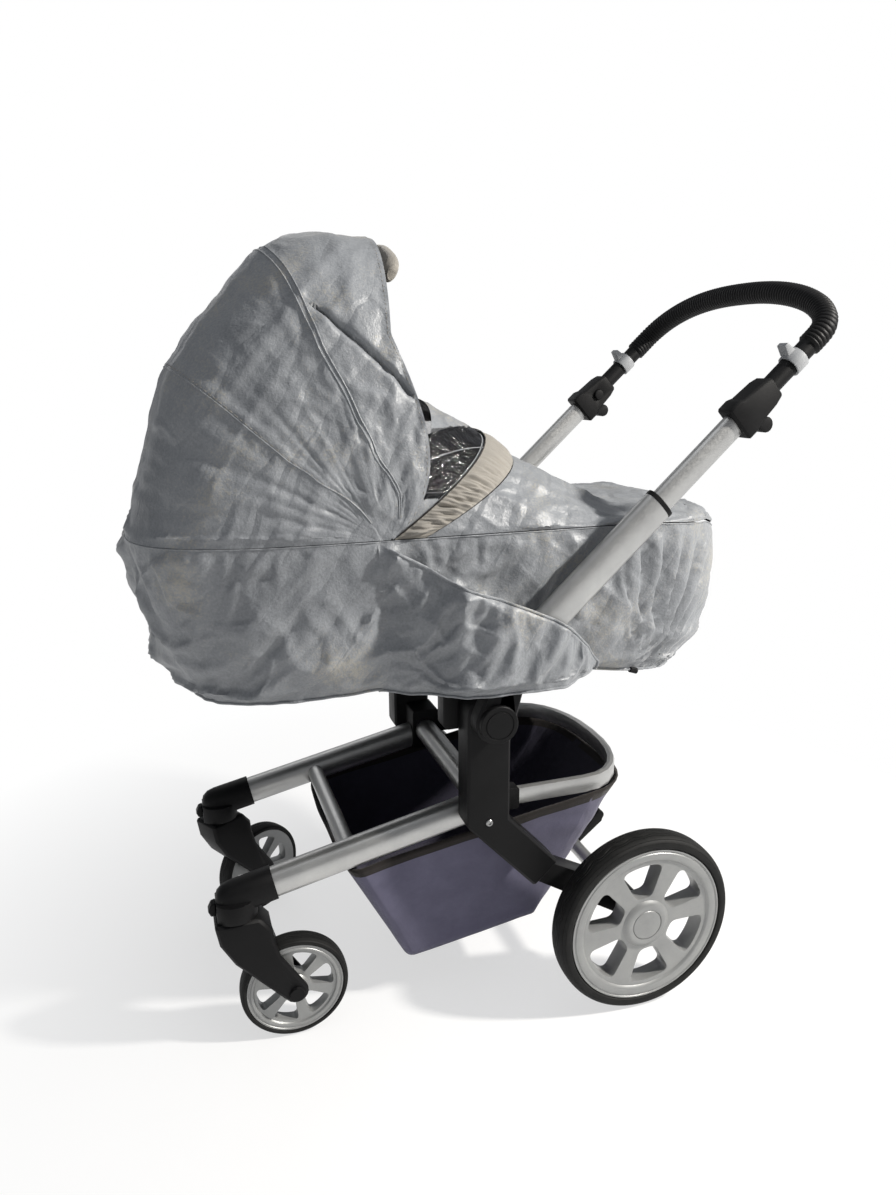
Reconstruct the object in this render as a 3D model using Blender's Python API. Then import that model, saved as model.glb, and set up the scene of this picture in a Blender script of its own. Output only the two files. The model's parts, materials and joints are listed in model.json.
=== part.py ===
"""A pram: a low chassis on swivelling front wheels, a folding telescopic handle,
a carrycot with a three-bow hood, and a rain cover drawn over the carrycot.

Lengths are in metres and +Z is up. The pram travels towards -X, so its handle is
at +X, its left side is at -Y and its right side at +Y. The pieces are drawn in a
frame whose origin is on the ground below the rear axle, and that frame stands
REAR_AXLE_X behind the middle of the whole pram.
"""

import math

import bmesh
import bpy
from mathutils import Matrix, Vector

# Clearances
GAP = 0.0003
RUNNING_GAP = 0.002

# Whole pram
REAR_AXLE_X = 0.2035
SIDES = (("left", -1), ("right", 1))

# Rear wheels
REAR_TYRE_RADIUS = 0.150
REAR_RIM_RADIUS = 0.130
REAR_TYRE_WIDTH = 0.045
REAR_WHEEL_SIDE = 0.268
REAR_STUB_RADIUS = 0.0060
REAR_CAP_RADIUS = 0.0250

# Front wheels and their forks
FRONT_AXLE_X = -0.537
FRONT_TYRE_RADIUS = 0.083
FRONT_RIM_RADIUS = 0.0737
FRONT_TYRE_WIDTH = 0.031
FRONT_AXLE_RADIUS = 0.0040
CASTER_TRAIL = 0.080
CASTER_TURN = {"left": 0.0, "right": math.radians(32.0)}
FORK_TOP_Z = 0.2222
FORK_WALL = 0.0100
STEM_RADIUS = 0.0080
STEM_LENGTH = 0.018

# Leg tubes, which slope down to the front wheels
LEG_SIDE = 0.154
LEG_WIDTH = 0.040
LEG_HEIGHT = 0.045
LEG_WALL = 0.0025
LEG_FRONT = (-0.5587, 0.2636)
LEG_REAR = (-0.2578, 0.3289)

# Knee brackets, which carry the hinge, the legs and the rear wheels
KNEE_INNER = 0.180
KNEE_OUTER = 0.2285
KNEE_WIDTH = 0.067
STRUT_WIDTH = 0.053
HINGE = (-0.245, 0.513)
KNEE_BEND = (-0.2450, 0.3400)
STRUT_END = (-0.1470, 0.2345)
ARM_WIDTH = 0.034
AXLE_Z = REAR_TYRE_RADIUS
SOCKET_DEPTH = 0.050
SOCKET_BOTTOM = 0.3092
SOCKET_TOP = 0.384

# Cross members
MAIN_TUBE_RADIUS = 0.020
MAIN_TUBE_Z = 0.345
FRONT_TUBE_X = -0.4425
FRONT_TUBE_RADIUS = 0.0135
AXLE_TUBE_RADIUS = 0.0120
BAR_HEIGHT = 0.030
BAR_THICKNESS = 0.015
BAR_SIDE = 0.165
BAR_Z = 0.345
BAR_REAR_X = 0.0430
BAR_BEND_X = -0.055
SLEEVE_LENGTH = 0.034

# Basket
BASKET_BOTTOM_FRONT = (-0.357, 0.077)
BASKET_BOTTOM_REAR = (-0.118, 0.110)
BASKET_BOTTOM_SIDE = 0.148
BASKET_WALL = 0.003

# Brake pedal
PEDAL_SIDE = 0.0
PEDAL_WIDTH = 0.046
PEDAL_REACH = 0.072

# Handle, drawn from the hinge along its own slope
HANDLE_SLOPE = math.radians(43.0)
HANDLE_RISE = 0.0467
HANDLE_SIDE = 0.2432
OUTER_WIDTH = 0.049
OUTER_THICKNESS = 0.028
OUTER_START = 0.086
OUTER_END = 0.383
OUTER_WALL = 0.0022
BUSH_LENGTH = 0.007
INNER_WIDTH = 0.037
INNER_THICKNESS = 0.021
INNER_WALL = 0.0020
INNER_SHOWN = 0.162
INNER_HIDDEN = 0.125
BLOCK_LENGTH = 0.080
BLOCK_THICKNESS = 0.034
BLOCK_WIDTH = 0.056
BAR_TUBE_RADIUS = 0.0145
BEND_OFFSET = 0.1024
BAR_REACH = 0.1860
BAR_LIFT = 0.0265
GRIP_RADIUS = 0.0180
GRIP_OFFSET = 0.081
GRIP_RIBS = 40
CLIP_OFFSET = 0.039
CLIP_LENGTH = 0.022
CLIP_RADIUS = 0.0178
BUTTON_RADIUS = 0.0095

# Carrycot
RIM_Z = 0.775
TUB_FLOOR_Z = 0.560
TUB_FRONT_X = -0.710
TUB_FOOT_X = 0.150
TUB_SIDE = 0.2090
TUB_BOTTOM_FRONT_X = -0.628
TUB_BOTTOM_FOOT_X = 0.085
TUB_BOTTOM_SIDE = 0.165
TUB_WALL = 0.006
MATTRESS_THICKNESS = 0.038
ADAPTER_HEIGHT = 0.0817

# Hood bows: angle up from the rear, reach of the crown, and how far in from the side
HOOD_PIVOT = (-0.400, 0.786)
BOW_WIDTH = 0.014
BOW_THICKNESS = 0.003
BOWS = (
    ("hood_bow_rear", 138.0, 0.305, 0.1866),
    ("hood_bow_middle", 108.0, 0.366, 0.1902),
    ("hood_bow_front", 84.5, 0.382, 0.1938),
)

# Rain cover
CLOTH = 0.0012
COVER_FRONT_X = -0.7225
COVER_FOOT_X = 0.2185
COVER_FOOT_DEPTH = 0.200
COVER_FOOT_POWER = 2.05
COVER_SIDE = 0.2120
COVER_WAIST_Z = 0.7770
HOOD_LINING_GAP = 0.0045
COLUMNS = 16
HOOD_ROOTS = (-0.400, -0.400, -0.400, -0.396, -0.384, -0.384, -0.384)
HOOD_TOPS = (
    (COVER_FRONT_X, COVER_WAIST_Z + 0.0004),
    (-0.690, 0.880),
    (-0.654, 0.992),
    (-0.588, 1.084),
    (-0.510, 1.159),
    (-0.431, 1.186),
    (-0.361, 1.180),
)
HOOD_POWERS = (3.2, 3.0, 2.8, 2.7, 2.6, 2.6, 2.6)
HOOD_BULGES = (0.0, 0.0, 0.0, 0.0, 0.0, 0.024, 0.052)
HOOD_LINING_SETBACK = 0.022
APRON_ROOTS = (-0.245, -0.140, -0.040, 0.035, 0.078, 0.110)
APRON_TOPS = (
    (-0.066, 0.830),
    (0.006, 0.7945),
    (0.070, 0.7905),
    (0.130, 0.7890),
    (0.176, 0.7780),
    (0.2140, 0.7540),
)
HEM = ((-0.62, 0.548), (-0.40, 0.562), (-0.10, 0.560), (0.05, 0.535), (0.20, 0.500))
WAIST_FALL = ((0.02, 0.0), (0.14, 0.010), (COVER_FOOT_X, 0.040))
VISOR_PLACE = (-0.3472, 1.1554)
VISOR_REACH = 0.112
VISOR_DROP = 0.030
VISOR_WIDTH = 0.040
VISOR_THICKNESS = 0.024

CHASSIS_BLACK = ("black_nylon", (0.020, 0.021, 0.023), 0.55, 0.0)
TUBE_SILVER = ("anodised_aluminium", (0.50, 0.50, 0.50), 0.34, 0.9)
RIM_SILVER = ("painted_rim", (0.42, 0.43, 0.44), 0.42, 0.3)
TYRE_RUBBER = ("tyre_rubber", (0.035, 0.035, 0.036), 0.80, 0.0)
BASKET_CLOTH = ("basket_cloth", (0.098, 0.090, 0.125), 0.90, 0.0)
COT_CLOTH = ("carrycot_cloth", (0.050, 0.052, 0.056), 0.92, 0.0)
COVER_CLOTH = ("cover_cloth", (0.30, 0.32, 0.34), 0.50, 0.0)
BAND_CLOTH = ("band_cloth", (0.36, 0.33, 0.28), 0.85, 0.0)
CLEAR_FILM = ("clear_film", (0.10, 0.10, 0.10), 0.15, 0.0)
GRIP_FOAM = ("grip_foam", (0.018, 0.018, 0.019), 0.60, 0.0)
BRIGHT_METAL = ("bright_metal", (0.55, 0.55, 0.55), 0.30, 1.0)
BOW_STEEL = ("bow_steel", (0.30, 0.30, 0.31), 0.45, 0.9)
MATTRESS_CLOTH = ("mattress_cloth", (0.60, 0.60, 0.58), 0.90, 0.0)


def clear_scene():
    """Removes every object that the file opened with."""
    for item in list(bpy.data.objects):
        bpy.data.objects.remove(item, do_unlink=True)


def material(finish):
    """Returns the material of a finish, making it the first time."""
    name, colour, roughness, metallic = finish
    found = bpy.data.materials.get(name)
    if found:
        return found
    made = bpy.data.materials.new(name)
    made.use_nodes = True
    shader = made.node_tree.nodes["Principled BSDF"]
    shader.inputs["Base Color"].default_value = (*colour, 1.0)
    shader.inputs["Roughness"].default_value = roughness
    shader.inputs["Metallic"].default_value = metallic
    made.diffuse_color = (*colour, 1.0)
    return made


def pivot(name, parent, place):
    """An empty at a joint's axis, placed in the pram's own frame."""
    empty = bpy.data.objects.new(name, None)
    bpy.context.scene.collection.objects.link(empty)
    empty.parent = parent
    empty["place"] = tuple(place)
    above = Vector(parent["place"]) if parent else Vector((0.0, 0.0, 0.0))
    empty.location = Vector(place) - above
    return empty


def piece(name, mesh, parent, finish=None, smooth=None):
    """Links a closed mesh, drawn in the pram's frame, under its pivot."""
    if smooth is not False:
        bmesh.ops.recalc_face_normals(mesh, faces=mesh.faces)
    data = bpy.data.meshes.new(name)
    mesh.to_mesh(data)
    mesh.free()
    data.transform(Matrix.Translation(-Vector(parent["place"])))
    data.shade_smooth()
    data.set_sharp_from_angle(angle=math.radians(38.0))
    item = bpy.data.objects.new(name, data)
    bpy.context.scene.collection.objects.link(item)
    item.parent = parent
    if finish:
        data.materials.append(material(finish))
    return item


def tool(name, mesh, target, operation):
    """Joins, cuts or keeps the shape of a target with a hidden second mesh."""
    parent = target.parent
    helper = piece(name, mesh, parent)
    helper.hide_render = True
    helper.display_type = "WIRE"
    change = target.modifiers.new(name, "BOOLEAN")
    change.operation = operation
    change.object = helper
    return helper


def bevel(item, width, segments=1, angle=35.0):
    """Rounds the sharp edges of a piece."""
    change = item.modifiers.new("edges", "BEVEL")
    change.width = width
    change.segments = segments
    change.limit_method = "ANGLE"
    change.angle_limit = math.radians(angle)
    change.use_clamp_overlap = True
    return change


def loft(rings, loop=False):
    """Skins a row of equal rings. A loop joins the last ring to the first."""
    mesh = bmesh.new()
    rows = [[mesh.verts.new(point) for point in ring] for ring in rings]
    count = len(rows[0])
    pairs = list(zip(rows, rows[1:]))
    if loop:
        pairs.append((rows[-1], rows[0]))
    for low, high in pairs:
        for i in range(count):
            j = (i + 1) % count
            mesh.faces.new((low[i], low[j], high[j], high[i]))
    if not loop:
        mesh.faces.new(list(reversed(rows[0])))
        mesh.faces.new(rows[-1])
    return mesh


def prism(outline, low, high):
    """A flat outline in X and Z, carried from one Y to another."""
    return loft([[Vector((x, y, z)) for x, z in outline] for y in (low, high)])


def mirrored(low, high, side):
    """The Y span of a piece on one side of the pram, in rising order."""
    return (low, high) if side > 0 else (-high, -low)


def turned(profile, place, segments, hollow=False, upright=False):
    """A profile of (radius, height) points turned about Y, or about Z if upright."""
    rings = []
    for radius, height in profile:
        ring = []
        for i in range(segments):
            turn = 2.0 * math.pi * i / segments
            a, b = radius * math.cos(turn), radius * math.sin(turn)
            offset = Vector((a, b, height)) if upright else Vector((a, height, b))
            ring.append(Vector(place) + offset)
        rings.append(ring)
    return loft(rings, loop=hollow)


def arc(centre, radius, start, end, steps):
    """Points on a circle from one angle to another, in degrees."""
    points = []
    for i in range(steps + 1):
        turn = math.radians(start + (end - start) * i / steps)
        points.append((centre[0] + radius * math.cos(turn), centre[1] + radius * math.sin(turn)))
    return points


def rounded(corners, radius, steps=3):
    """A polygon with each corner turned into an arc that fits it."""
    points = []
    count = len(corners)
    for i in range(count):
        here = Vector(corners[i])
        before = Vector(corners[i - 1]) - here
        after = Vector(corners[(i + 1) % count]) - here
        half = before.angle(after) / 2.0
        reach = min(radius / math.tan(half), before.length * 0.45, after.length * 0.45)
        fitted = reach * math.tan(half)
        inward = (before.normalized() + after.normalized()).normalized()
        centre = here + inward * (fitted / math.sin(half))
        first = here + before.normalized() * reach - centre
        last = here + after.normalized() * reach - centre
        swing = first.angle_signed(last)
        for k in range(steps + 1):
            turn = -swing * k / steps
            c, s = math.cos(turn), math.sin(turn)
            points.append((centre.x + first.x * c - first.y * s, centre.y + first.x * s + first.y * c))
    return points


def bent_bar(start, bend, end, upper, lower, steps=9):
    """Outline of a bar that bends once, round at its start and cut square at its end."""
    start, bend, end = Vector(start), Vector(bend), Vector(end)
    first = (bend - start).normalized()
    second = (end - bend).normalized()
    left = Vector((-first.y, first.x))
    right = Vector((-second.y, second.x))
    points = []
    heading = math.degrees(math.atan2(first.y, first.x))
    points += arc(start, upper, heading - 90.0, heading - 270.0, steps)
    points.append(tuple(line_meeting(start + left * upper, first, end + right * lower, second)))
    points += [tuple(end + right * lower), tuple(end - right * lower)]
    points.append(tuple(line_meeting(start - left * upper, first, end - right * lower, second)))
    return points


def line_meeting(a, along_a, b, along_b):
    """Where two lines in a plane cross."""
    cross = along_a.x * along_b.y - along_a.y * along_b.x
    gap = b - a
    t = (gap.x * along_b.y - gap.y * along_b.x) / cross
    return a + along_a * t


def oval(width, height, count, power=2.4):
    """A rounded section: points of (across, up) round a superellipse."""
    points = []
    for i in range(count):
        turn = 2.0 * math.pi * i / count
        c, s = math.cos(turn), math.sin(turn)
        across = math.copysign(abs(c) ** (2.0 / power), c) * width / 2.0
        up = math.copysign(abs(s) ** (2.0 / power), s) * height / 2.0
        points.append((across, up))
    return points


def straight_tube(start, end, width, height, wall, count=16, power=2.4):
    """A hollow oval tube between two points, wide in Y and high across its length."""
    along = (end - start).normalized()
    sideways = Vector((0.0, 1.0, 0.0))
    upward = along.cross(sideways).normalized()
    rings = []
    for place, inset in ((start, 0.0), (end, 0.0), (end, wall), (start, wall)):
        section = oval(width - 2.0 * inset, height - 2.0 * inset, count, power)
        rings.append([place + sideways * a + upward * b for a, b in section])
    return loft(rings, loop=True)


def swept(path, section, wide, across=None):
    """Rings of a section carried along a path. Its first axis stays near a fixed one."""
    rings = []
    last = len(path) - 1
    for i, place in enumerate(path):
        along = (path[min(i + 1, last)] - path[max(i - 1, 0)]).normalized()
        second = along.cross(wide).normalized()
        first = second.cross(along).normalized()
        shape = section(i) if callable(section) else section
        rings.append([place + first * a + second * b for a, b in shape])
    return rings


def sheet(rows, closed=False):
    """An open grid of cloth, row by row. A closed grid joins each row's two ends."""
    mesh = bmesh.new()
    grid = [[mesh.verts.new(point) for point in row] for row in rows]
    count = len(grid[0])
    for low, high in zip(grid, grid[1:]):
        for i in range(count if closed else count - 1):
            j = (i + 1) % count
            mesh.faces.new((low[i], low[j], high[j], high[i]))
    return mesh, grid


def thicken(item, thickness, offset=0.0):
    """Gives an open sheet its thickness and closes its edges."""
    change = item.modifiers.new("thickness", "SOLIDIFY")
    change.thickness = thickness
    change.offset = offset
    change.use_even_offset = False
    return change


def blended(stops, at):
    """Reads a value off a line through (place, value) stops."""
    if at <= stops[0][0]:
        return stops[0][1]
    for (a, low), (b, high) in zip(stops, stops[1:]):
        if at <= b:
            return low + (high - low) * (at - a) / (b - a)
    return stops[-1][1]


def plan_outline(front, foot, side, count, front_depth=0.32, foot_depth=0.24, power=3.2, foot_power=2.4):
    """Points (x, y) round a cot seen from above: squarer at the head than at the foot."""
    front_centre = front + front_depth
    foot_centre = foot - foot_depth
    points = []
    for i in range(count):
        turn = 2.0 * math.pi * i / count
        c, s = math.cos(turn), math.sin(turn)
        shape = foot_power if c > 0.0 else power
        reach = abs(c) ** (2.0 / shape)
        y = math.copysign(abs(s) ** (2.0 / shape), s) * side
        x = foot_centre + reach * foot_depth if c > 0.0 else front_centre - reach * front_depth
        points.append((x, y))
    return points


def leg_z(x):
    """Height of the leg tubes' middle line at a place along the pram."""
    rise = (LEG_REAR[1] - LEG_FRONT[1]) / (LEG_REAR[0] - LEG_FRONT[0])
    return LEG_REAR[1] + (x - LEG_REAR[0]) * rise


LEG_SLOPE = math.atan2(LEG_REAR[1] - LEG_FRONT[1], LEG_REAR[0] - LEG_FRONT[0])
CASTER_X = FRONT_AXLE_X - CASTER_TRAIL
FORK_HALF = FRONT_TYRE_WIDTH / 2.0 + RUNNING_GAP
SOCKET_FRONT_X = LEG_REAR[0]
SOCKET_REAR_X = SOCKET_FRONT_X + SOCKET_DEPTH
SOCKET_INNER = LEG_SIDE - LEG_WIDTH / 2.0 - 0.004
MAIN_TUBE_X = SOCKET_FRONT_X + SOCKET_DEPTH / 2.0


def build_leg(parent, name, side):
    """Hollow leg tube from the knee socket to the front sleeve."""
    start = Vector((LEG_FRONT[0] + GAP, side * LEG_SIDE, leg_z(LEG_FRONT[0] + GAP)))
    end = Vector((LEG_REAR[0], side * LEG_SIDE, leg_z(LEG_REAR[0])))
    mesh = straight_tube(start, end, LEG_WIDTH, LEG_HEIGHT, LEG_WALL)
    for vert in mesh.verts:
        if (vert.co - end).length < LEG_HEIGHT:
            slide = (LEG_REAR[0] - GAP - vert.co.x) / math.cos(LEG_SLOPE)
            vert.co += (end - start).normalized() * slide
    piece(f"leg_tube_{name}", mesh, parent, TUBE_SILVER)


def build_knee(parent, name, side):
    """Moulded bracket: hinge head, sockets for leg and bar, and the strut to the axle."""
    low, high = mirrored(KNEE_INNER, KNEE_OUTER, side)
    outline = bent_bar(HINGE, KNEE_BEND, STRUT_END, KNEE_WIDTH / 2.0, STRUT_WIDTH / 2.0)
    bracket = piece(f"knee_bracket_{name}", prism(outline, low, high), parent, CHASSIS_BLACK)
    bevel(bracket, 0.004)
    low, high = mirrored(KNEE_INNER + 0.005, KNEE_OUTER - 0.006, side)
    heading = math.degrees(math.atan2(AXLE_Z - STRUT_END[1], -STRUT_END[0]))
    root = (STRUT_END[0] - 0.012 * math.cos(math.radians(heading)), STRUT_END[1] - 0.012 * math.sin(math.radians(heading)))
    outline = arc(root, ARM_WIDTH / 2.0, heading + 90.0, heading + 270.0, 4)
    outline += arc((0.0, AXLE_Z), 0.023, heading - 90.0, heading + 90.0, 8)
    tool(f"arm_{name}", prism(outline, low, high), bracket, "UNION")
    inner, outer = mirrored(SOCKET_INNER, KNEE_INNER + 0.004, side)
    corners = (
        (SOCKET_FRONT_X, SOCKET_BOTTOM),
        (SOCKET_REAR_X, SOCKET_BOTTOM),
        (SOCKET_REAR_X, SOCKET_TOP),
        (SOCKET_FRONT_X, SOCKET_TOP),
    )
    tool(f"knee_socket_{name}", prism(rounded(corners, 0.006, 2), inner, outer), bracket, "UNION")
    half = BAR_HEIGHT / 2.0 + 0.003
    reach = BAR_THICKNESS / 2.0 + 0.0035
    inner, outer = mirrored(BAR_SIDE - reach, BAR_SIDE + reach, side)
    corners = (
        (SOCKET_REAR_X - 0.010, BAR_Z - half),
        (SOCKET_REAR_X + SLEEVE_LENGTH, BAR_Z - half),
        (SOCKET_REAR_X + SLEEVE_LENGTH, BAR_Z + half),
        (SOCKET_REAR_X - 0.010, BAR_Z + half),
    )
    tool(f"bar_sleeve_{name}", prism(rounded(corners, 0.004, 2), inner, outer), bracket, "UNION")
    hub_face = REAR_WHEEL_SIDE + REAR_TYRE_WIDTH / 2.0 - 0.0075
    boss_end = REAR_WHEEL_SIDE - REAR_TYRE_WIDTH / 2.0 - RUNNING_GAP / 2.0
    stub = [
        (0.020, side * KNEE_INNER),
        (0.020, side * (KNEE_OUTER - 0.006)),
        (0.017, side * boss_end),
        (REAR_STUB_RADIUS, side * boss_end),
        (REAR_STUB_RADIUS, side * hub_face),
    ]
    tool(f"stub_{name}", turned(stub, (0.0, 0.0, AXLE_Z), 16), bracket, "UNION")


def build_cross_members(parent):
    """The tubes that run from side to side, and the bar round the basket."""
    ends = SOCKET_INNER - GAP
    radius = MAIN_TUBE_RADIUS
    main = turned([(radius, -ends), (radius, ends)], (MAIN_TUBE_X, 0.0, MAIN_TUBE_Z), 20)
    piece("main_cross_tube", main, parent, TUBE_SILVER)
    ends = LEG_SIDE - LEG_WIDTH / 2.0 - GAP
    radius = FRONT_TUBE_RADIUS
    front = turned([(radius, -ends), (radius, ends)], (FRONT_TUBE_X, 0.0, leg_z(FRONT_TUBE_X)), 16)
    piece("front_cross_tube", front, parent, TUBE_SILVER)
    ends = KNEE_INNER - GAP
    radius = AXLE_TUBE_RADIUS
    axle = turned([(radius, -ends), (radius, ends)], (0.0, 0.0, AXLE_Z), 16)
    piece("rear_axle", axle, parent, TUBE_SILVER)
    start = SOCKET_REAR_X + SLEEVE_LENGTH + GAP
    path = [Vector((x, -BAR_SIDE, BAR_Z)) for x in (start, BAR_BEND_X - 0.03)]
    steps = 14
    for i in range(steps + 1):
        turn = math.pi * (i / steps - 0.5)
        y = BAR_SIDE * math.copysign(abs(math.sin(turn)) ** 0.88, turn)
        x = BAR_BEND_X + (BAR_REAR_X - BAR_BEND_X) * math.cos(turn) ** 0.88
        path.append(Vector((x, y, BAR_Z)))
    path += [Vector((x, BAR_SIDE, BAR_Z)) for x in (BAR_BEND_X - 0.03, start)]
    section = oval(BAR_HEIGHT, BAR_THICKNESS, 10, 3.0)
    piece("basket_bar", loft(swept(path, section, Vector((0.0, 0.0, 1.0)))), parent, TUBE_SILVER)


def basket_rim_z(x):
    """Top edge of the basket: under the legs, the knee sockets and the bar."""
    drop = LEG_HEIGHT / 2.0 / math.cos(LEG_SLOPE) + 0.0012
    sleeve = BAR_Z - BAR_HEIGHT / 2.0 - 0.003 - 0.0010
    stops = (
        (FRONT_TUBE_X - 0.02, leg_z(FRONT_TUBE_X - 0.02) - drop),
        (SOCKET_FRONT_X - 0.004, leg_z(SOCKET_FRONT_X - 0.004) - drop),
        (SOCKET_REAR_X, SOCKET_BOTTOM - GAP),
        (SOCKET_REAR_X + 0.004, SOCKET_BOTTOM - GAP),
        (SOCKET_REAR_X + SLEEVE_LENGTH, sleeve),
        (SOCKET_REAR_X + SLEEVE_LENGTH + 0.004, sleeve),
        (BAR_BEND_X - 0.05, BAR_Z - BAR_HEIGHT / 2.0 - 0.0014),
    )
    return blended(stops, x)


def build_basket(parent):
    """Cloth basket, open at the top, slung between the legs and the bar."""
    count = 36
    front = FRONT_TUBE_X - FRONT_TUBE_RADIUS
    rear = BAR_REAR_X + BAR_THICKNESS / 2.0
    side = BAR_SIDE + BAR_THICKNESS / 2.0
    top = plan_outline(front, rear, side, count, 0.06, 0.13, 6.0, 3.0)
    low_front, low_rear = BASKET_BOTTOM_FRONT, BASKET_BOTTOM_REAR
    low = plan_outline(low_front[0], low_rear[0], BASKET_BOTTOM_SIDE, count, 0.04, 0.04, 7.0, 7.0)
    fall = (low_rear[1] - low_front[1]) / (low_rear[0] - low_front[0])
    rows = []
    for share in (0.0, 0.30, 0.65, 1.0):
        row = []
        for (x, y), (u, v) in zip(top, low):
            a = Vector((x, y, basket_rim_z(x)))
            b = Vector((u, v, low_front[1] + (u - low_front[0]) * fall))
            row.append(a.lerp(b, share))
        rows.append(row)
    mesh, grid = sheet(rows, closed=True)
    mesh.faces.new(grid[-1])
    bmesh.ops.recalc_face_normals(mesh, faces=mesh.faces)
    basket = piece("basket", mesh, parent, BASKET_CLOTH, smooth=False)
    thicken(basket, BASKET_WALL, -1.0)


def build_housing(parent, name, side):
    """Sleeve over the leg's front end and the round body that holds the fork."""
    start = Vector((LEG_FRONT[0], side * LEG_SIDE, leg_z(LEG_FRONT[0])))
    along = Vector((-math.cos(LEG_SLOPE), 0.0, -math.sin(LEG_SLOPE)))
    upward = Vector((-along.z, 0.0, along.x)) * -1.0
    length = (LEG_FRONT[0] - CASTER_X) / math.cos(LEG_SLOPE)
    rings = []
    stations = ((0.0, 1.0), (length, 1.0), (length + 0.012, 0.93), (length + 0.021, 0.72), (length + 0.026, 0.38))
    for reach, share in stations:
        section = oval((LEG_WIDTH + 0.006) * share, (LEG_HEIGHT + 0.006) * share, 16, 2.4)
        middle = start + along * reach
        rings.append([middle + Vector((0.0, a, 0.0)) + upward * b for a, b in section])
    housing = piece(f"caster_housing_{name}", loft(rings), parent, CHASSIS_BLACK)
    place = (CASTER_X, side * LEG_SIDE, 0.0)
    body = turned([(0.0325, FORK_TOP_Z + GAP), (0.0325, leg_z(CASTER_X))], place, 20, upright=True)
    tool(f"caster_body_{name}", body, housing, "UNION")
    bore = STEM_RADIUS + RUNNING_GAP / 4.0
    top = FORK_TOP_Z + STEM_LENGTH + 0.001
    drill = turned([(bore, FORK_TOP_Z - 0.005), (bore, top)], place, 12, upright=True)
    tool(f"stem_bore_{name}", drill, housing, "DIFFERENCE")
    flat = ((-0.6560, 0.215), (-0.6440, 0.215), (-0.6440, 0.262), (-0.6560, 0.262))
    low, high = mirrored(LEG_SIDE - 0.030, LEG_SIDE + 0.030, side)
    tool(f"lock_face_{name}", prism(flat, low, high), housing, "DIFFERENCE")


def build_lock(parent, name, side):
    """Small sliding catch on the front of the housing that stops the fork turning."""
    place = (-0.6440 - GAP, side * LEG_SIDE, 0.240)
    lock = pivot(f"swivel_lock_pivot_{name}", parent, place)
    corners = ((-0.6443, 0.2290), (-0.6443, 0.2500), (-0.6510, 0.2480), (-0.6560, 0.2380), (-0.6520, 0.2290))
    low, high = mirrored(LEG_SIDE - 0.008, LEG_SIDE + 0.008, side)
    catch = piece(f"swivel_lock_{name}", prism(corners, low, high), lock, CHASSIS_BLACK)
    bevel(catch, 0.0012)


def build_fork(parent, name, side):
    """Two-armed fork with its stem, on the caster's upright axis."""
    axis = pivot(f"fork_pivot_{name}", parent, (CASTER_X, side * LEG_SIDE, FORK_TOP_Z))
    wheel = (FRONT_AXLE_X, FRONT_TYRE_RADIUS)
    front = CASTER_X - 0.0325
    outline = [(front, FORK_TOP_Z), (front + 0.006, 0.188), (front + 0.026, 0.152)]
    outline += arc(wheel, 0.0185, 215.0, 395.0, 9)
    outline += [(FRONT_AXLE_X - 0.020, 0.150), (FRONT_AXLE_X - 0.028, 0.180), (FRONT_AXLE_X - 0.030, 0.200)]
    outline += [(CASTER_X + 0.0325, FORK_TOP_Z)]
    half = FORK_HALF + FORK_WALL
    body = prism(outline, side * LEG_SIDE - half, side * LEG_SIDE + half)
    fork = piece(f"fork_{name}", body, axis, CHASSIS_BLACK)
    bevel(fork, 0.0045)
    room = FRONT_TYRE_RADIUS + 0.0045
    slot = [(room, -FORK_HALF), (room, FORK_HALF)]
    tool(f"wheel_slot_{name}", turned(slot, (wheel[0], side * LEG_SIDE, wheel[1]), 28), fork, "DIFFERENCE")
    stem = [(STEM_RADIUS, FORK_TOP_Z - 0.006), (STEM_RADIUS, FORK_TOP_Z + STEM_LENGTH)]
    upright = turned(stem, (CASTER_X, side * LEG_SIDE, 0.0), 12, upright=True)
    tool(f"stem_{name}", upright, fork, "UNION")
    hole = FRONT_AXLE_RADIUS + GAP
    drill = [(hole, -0.04), (hole, 0.04)]
    tool(f"axle_hole_{name}", turned(drill, (wheel[0], side * LEG_SIDE, wheel[1]), 12), fork, "DIFFERENCE")
    inner = side * LEG_SIDE - side * half
    outer = side * LEG_SIDE + side * half
    bolt = [
        (0.0075, inner - side * 0.0035),
        (0.0075, inner - side * GAP),
        (FRONT_AXLE_RADIUS, inner - side * GAP),
        (FRONT_AXLE_RADIUS, outer + side * GAP),
        (0.0125, outer + side * GAP),
        (0.0110, outer + side * 0.0040),
    ]
    piece(f"front_axle_{name}", turned(bolt, (wheel[0], 0.0, wheel[1]), 12), axis, CHASSIS_BLACK)
    spin = pivot(f"front_wheel_pivot_{name}", axis, (wheel[0], side * LEG_SIDE, wheel[1]))
    build_wheel(spin, f"front_%s_{name}", side, FRONT_WHEEL)
    axis.rotation_euler.z = CASTER_TURN[name]


def wheel_window(inner, outer, spread, offset, place, depth, corner):
    """Cutter for one opening between two spokes, with rounded corners."""
    near = math.radians(spread * 0.40)
    far = math.radians(spread * 0.50)
    corners = [
        (inner * math.cos(near), -inner * math.sin(near)),
        (outer * math.cos(far), -outer * math.sin(far)),
        (outer * math.cos(far), outer * math.sin(far)),
        (inner * math.cos(near), inner * math.sin(near)),
    ]
    outline = rounded(corners, (outer - inner) * 0.24, corner)
    outline.insert(2 * (corner + 1), (outer, 0.0))
    turn = math.radians(offset)
    spun = []
    for x, z in outline:
        a = x * math.cos(turn) - z * math.sin(turn)
        b = x * math.sin(turn) + z * math.cos(turn)
        spun.append(Vector((place.x + a, 0.0, place.z + b)))
    low = [p + Vector((0.0, place.y - depth, 0.0)) for p in spun]
    high = [p + Vector((0.0, place.y + depth, 0.0)) for p in spun]
    return loft([low, high])


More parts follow.
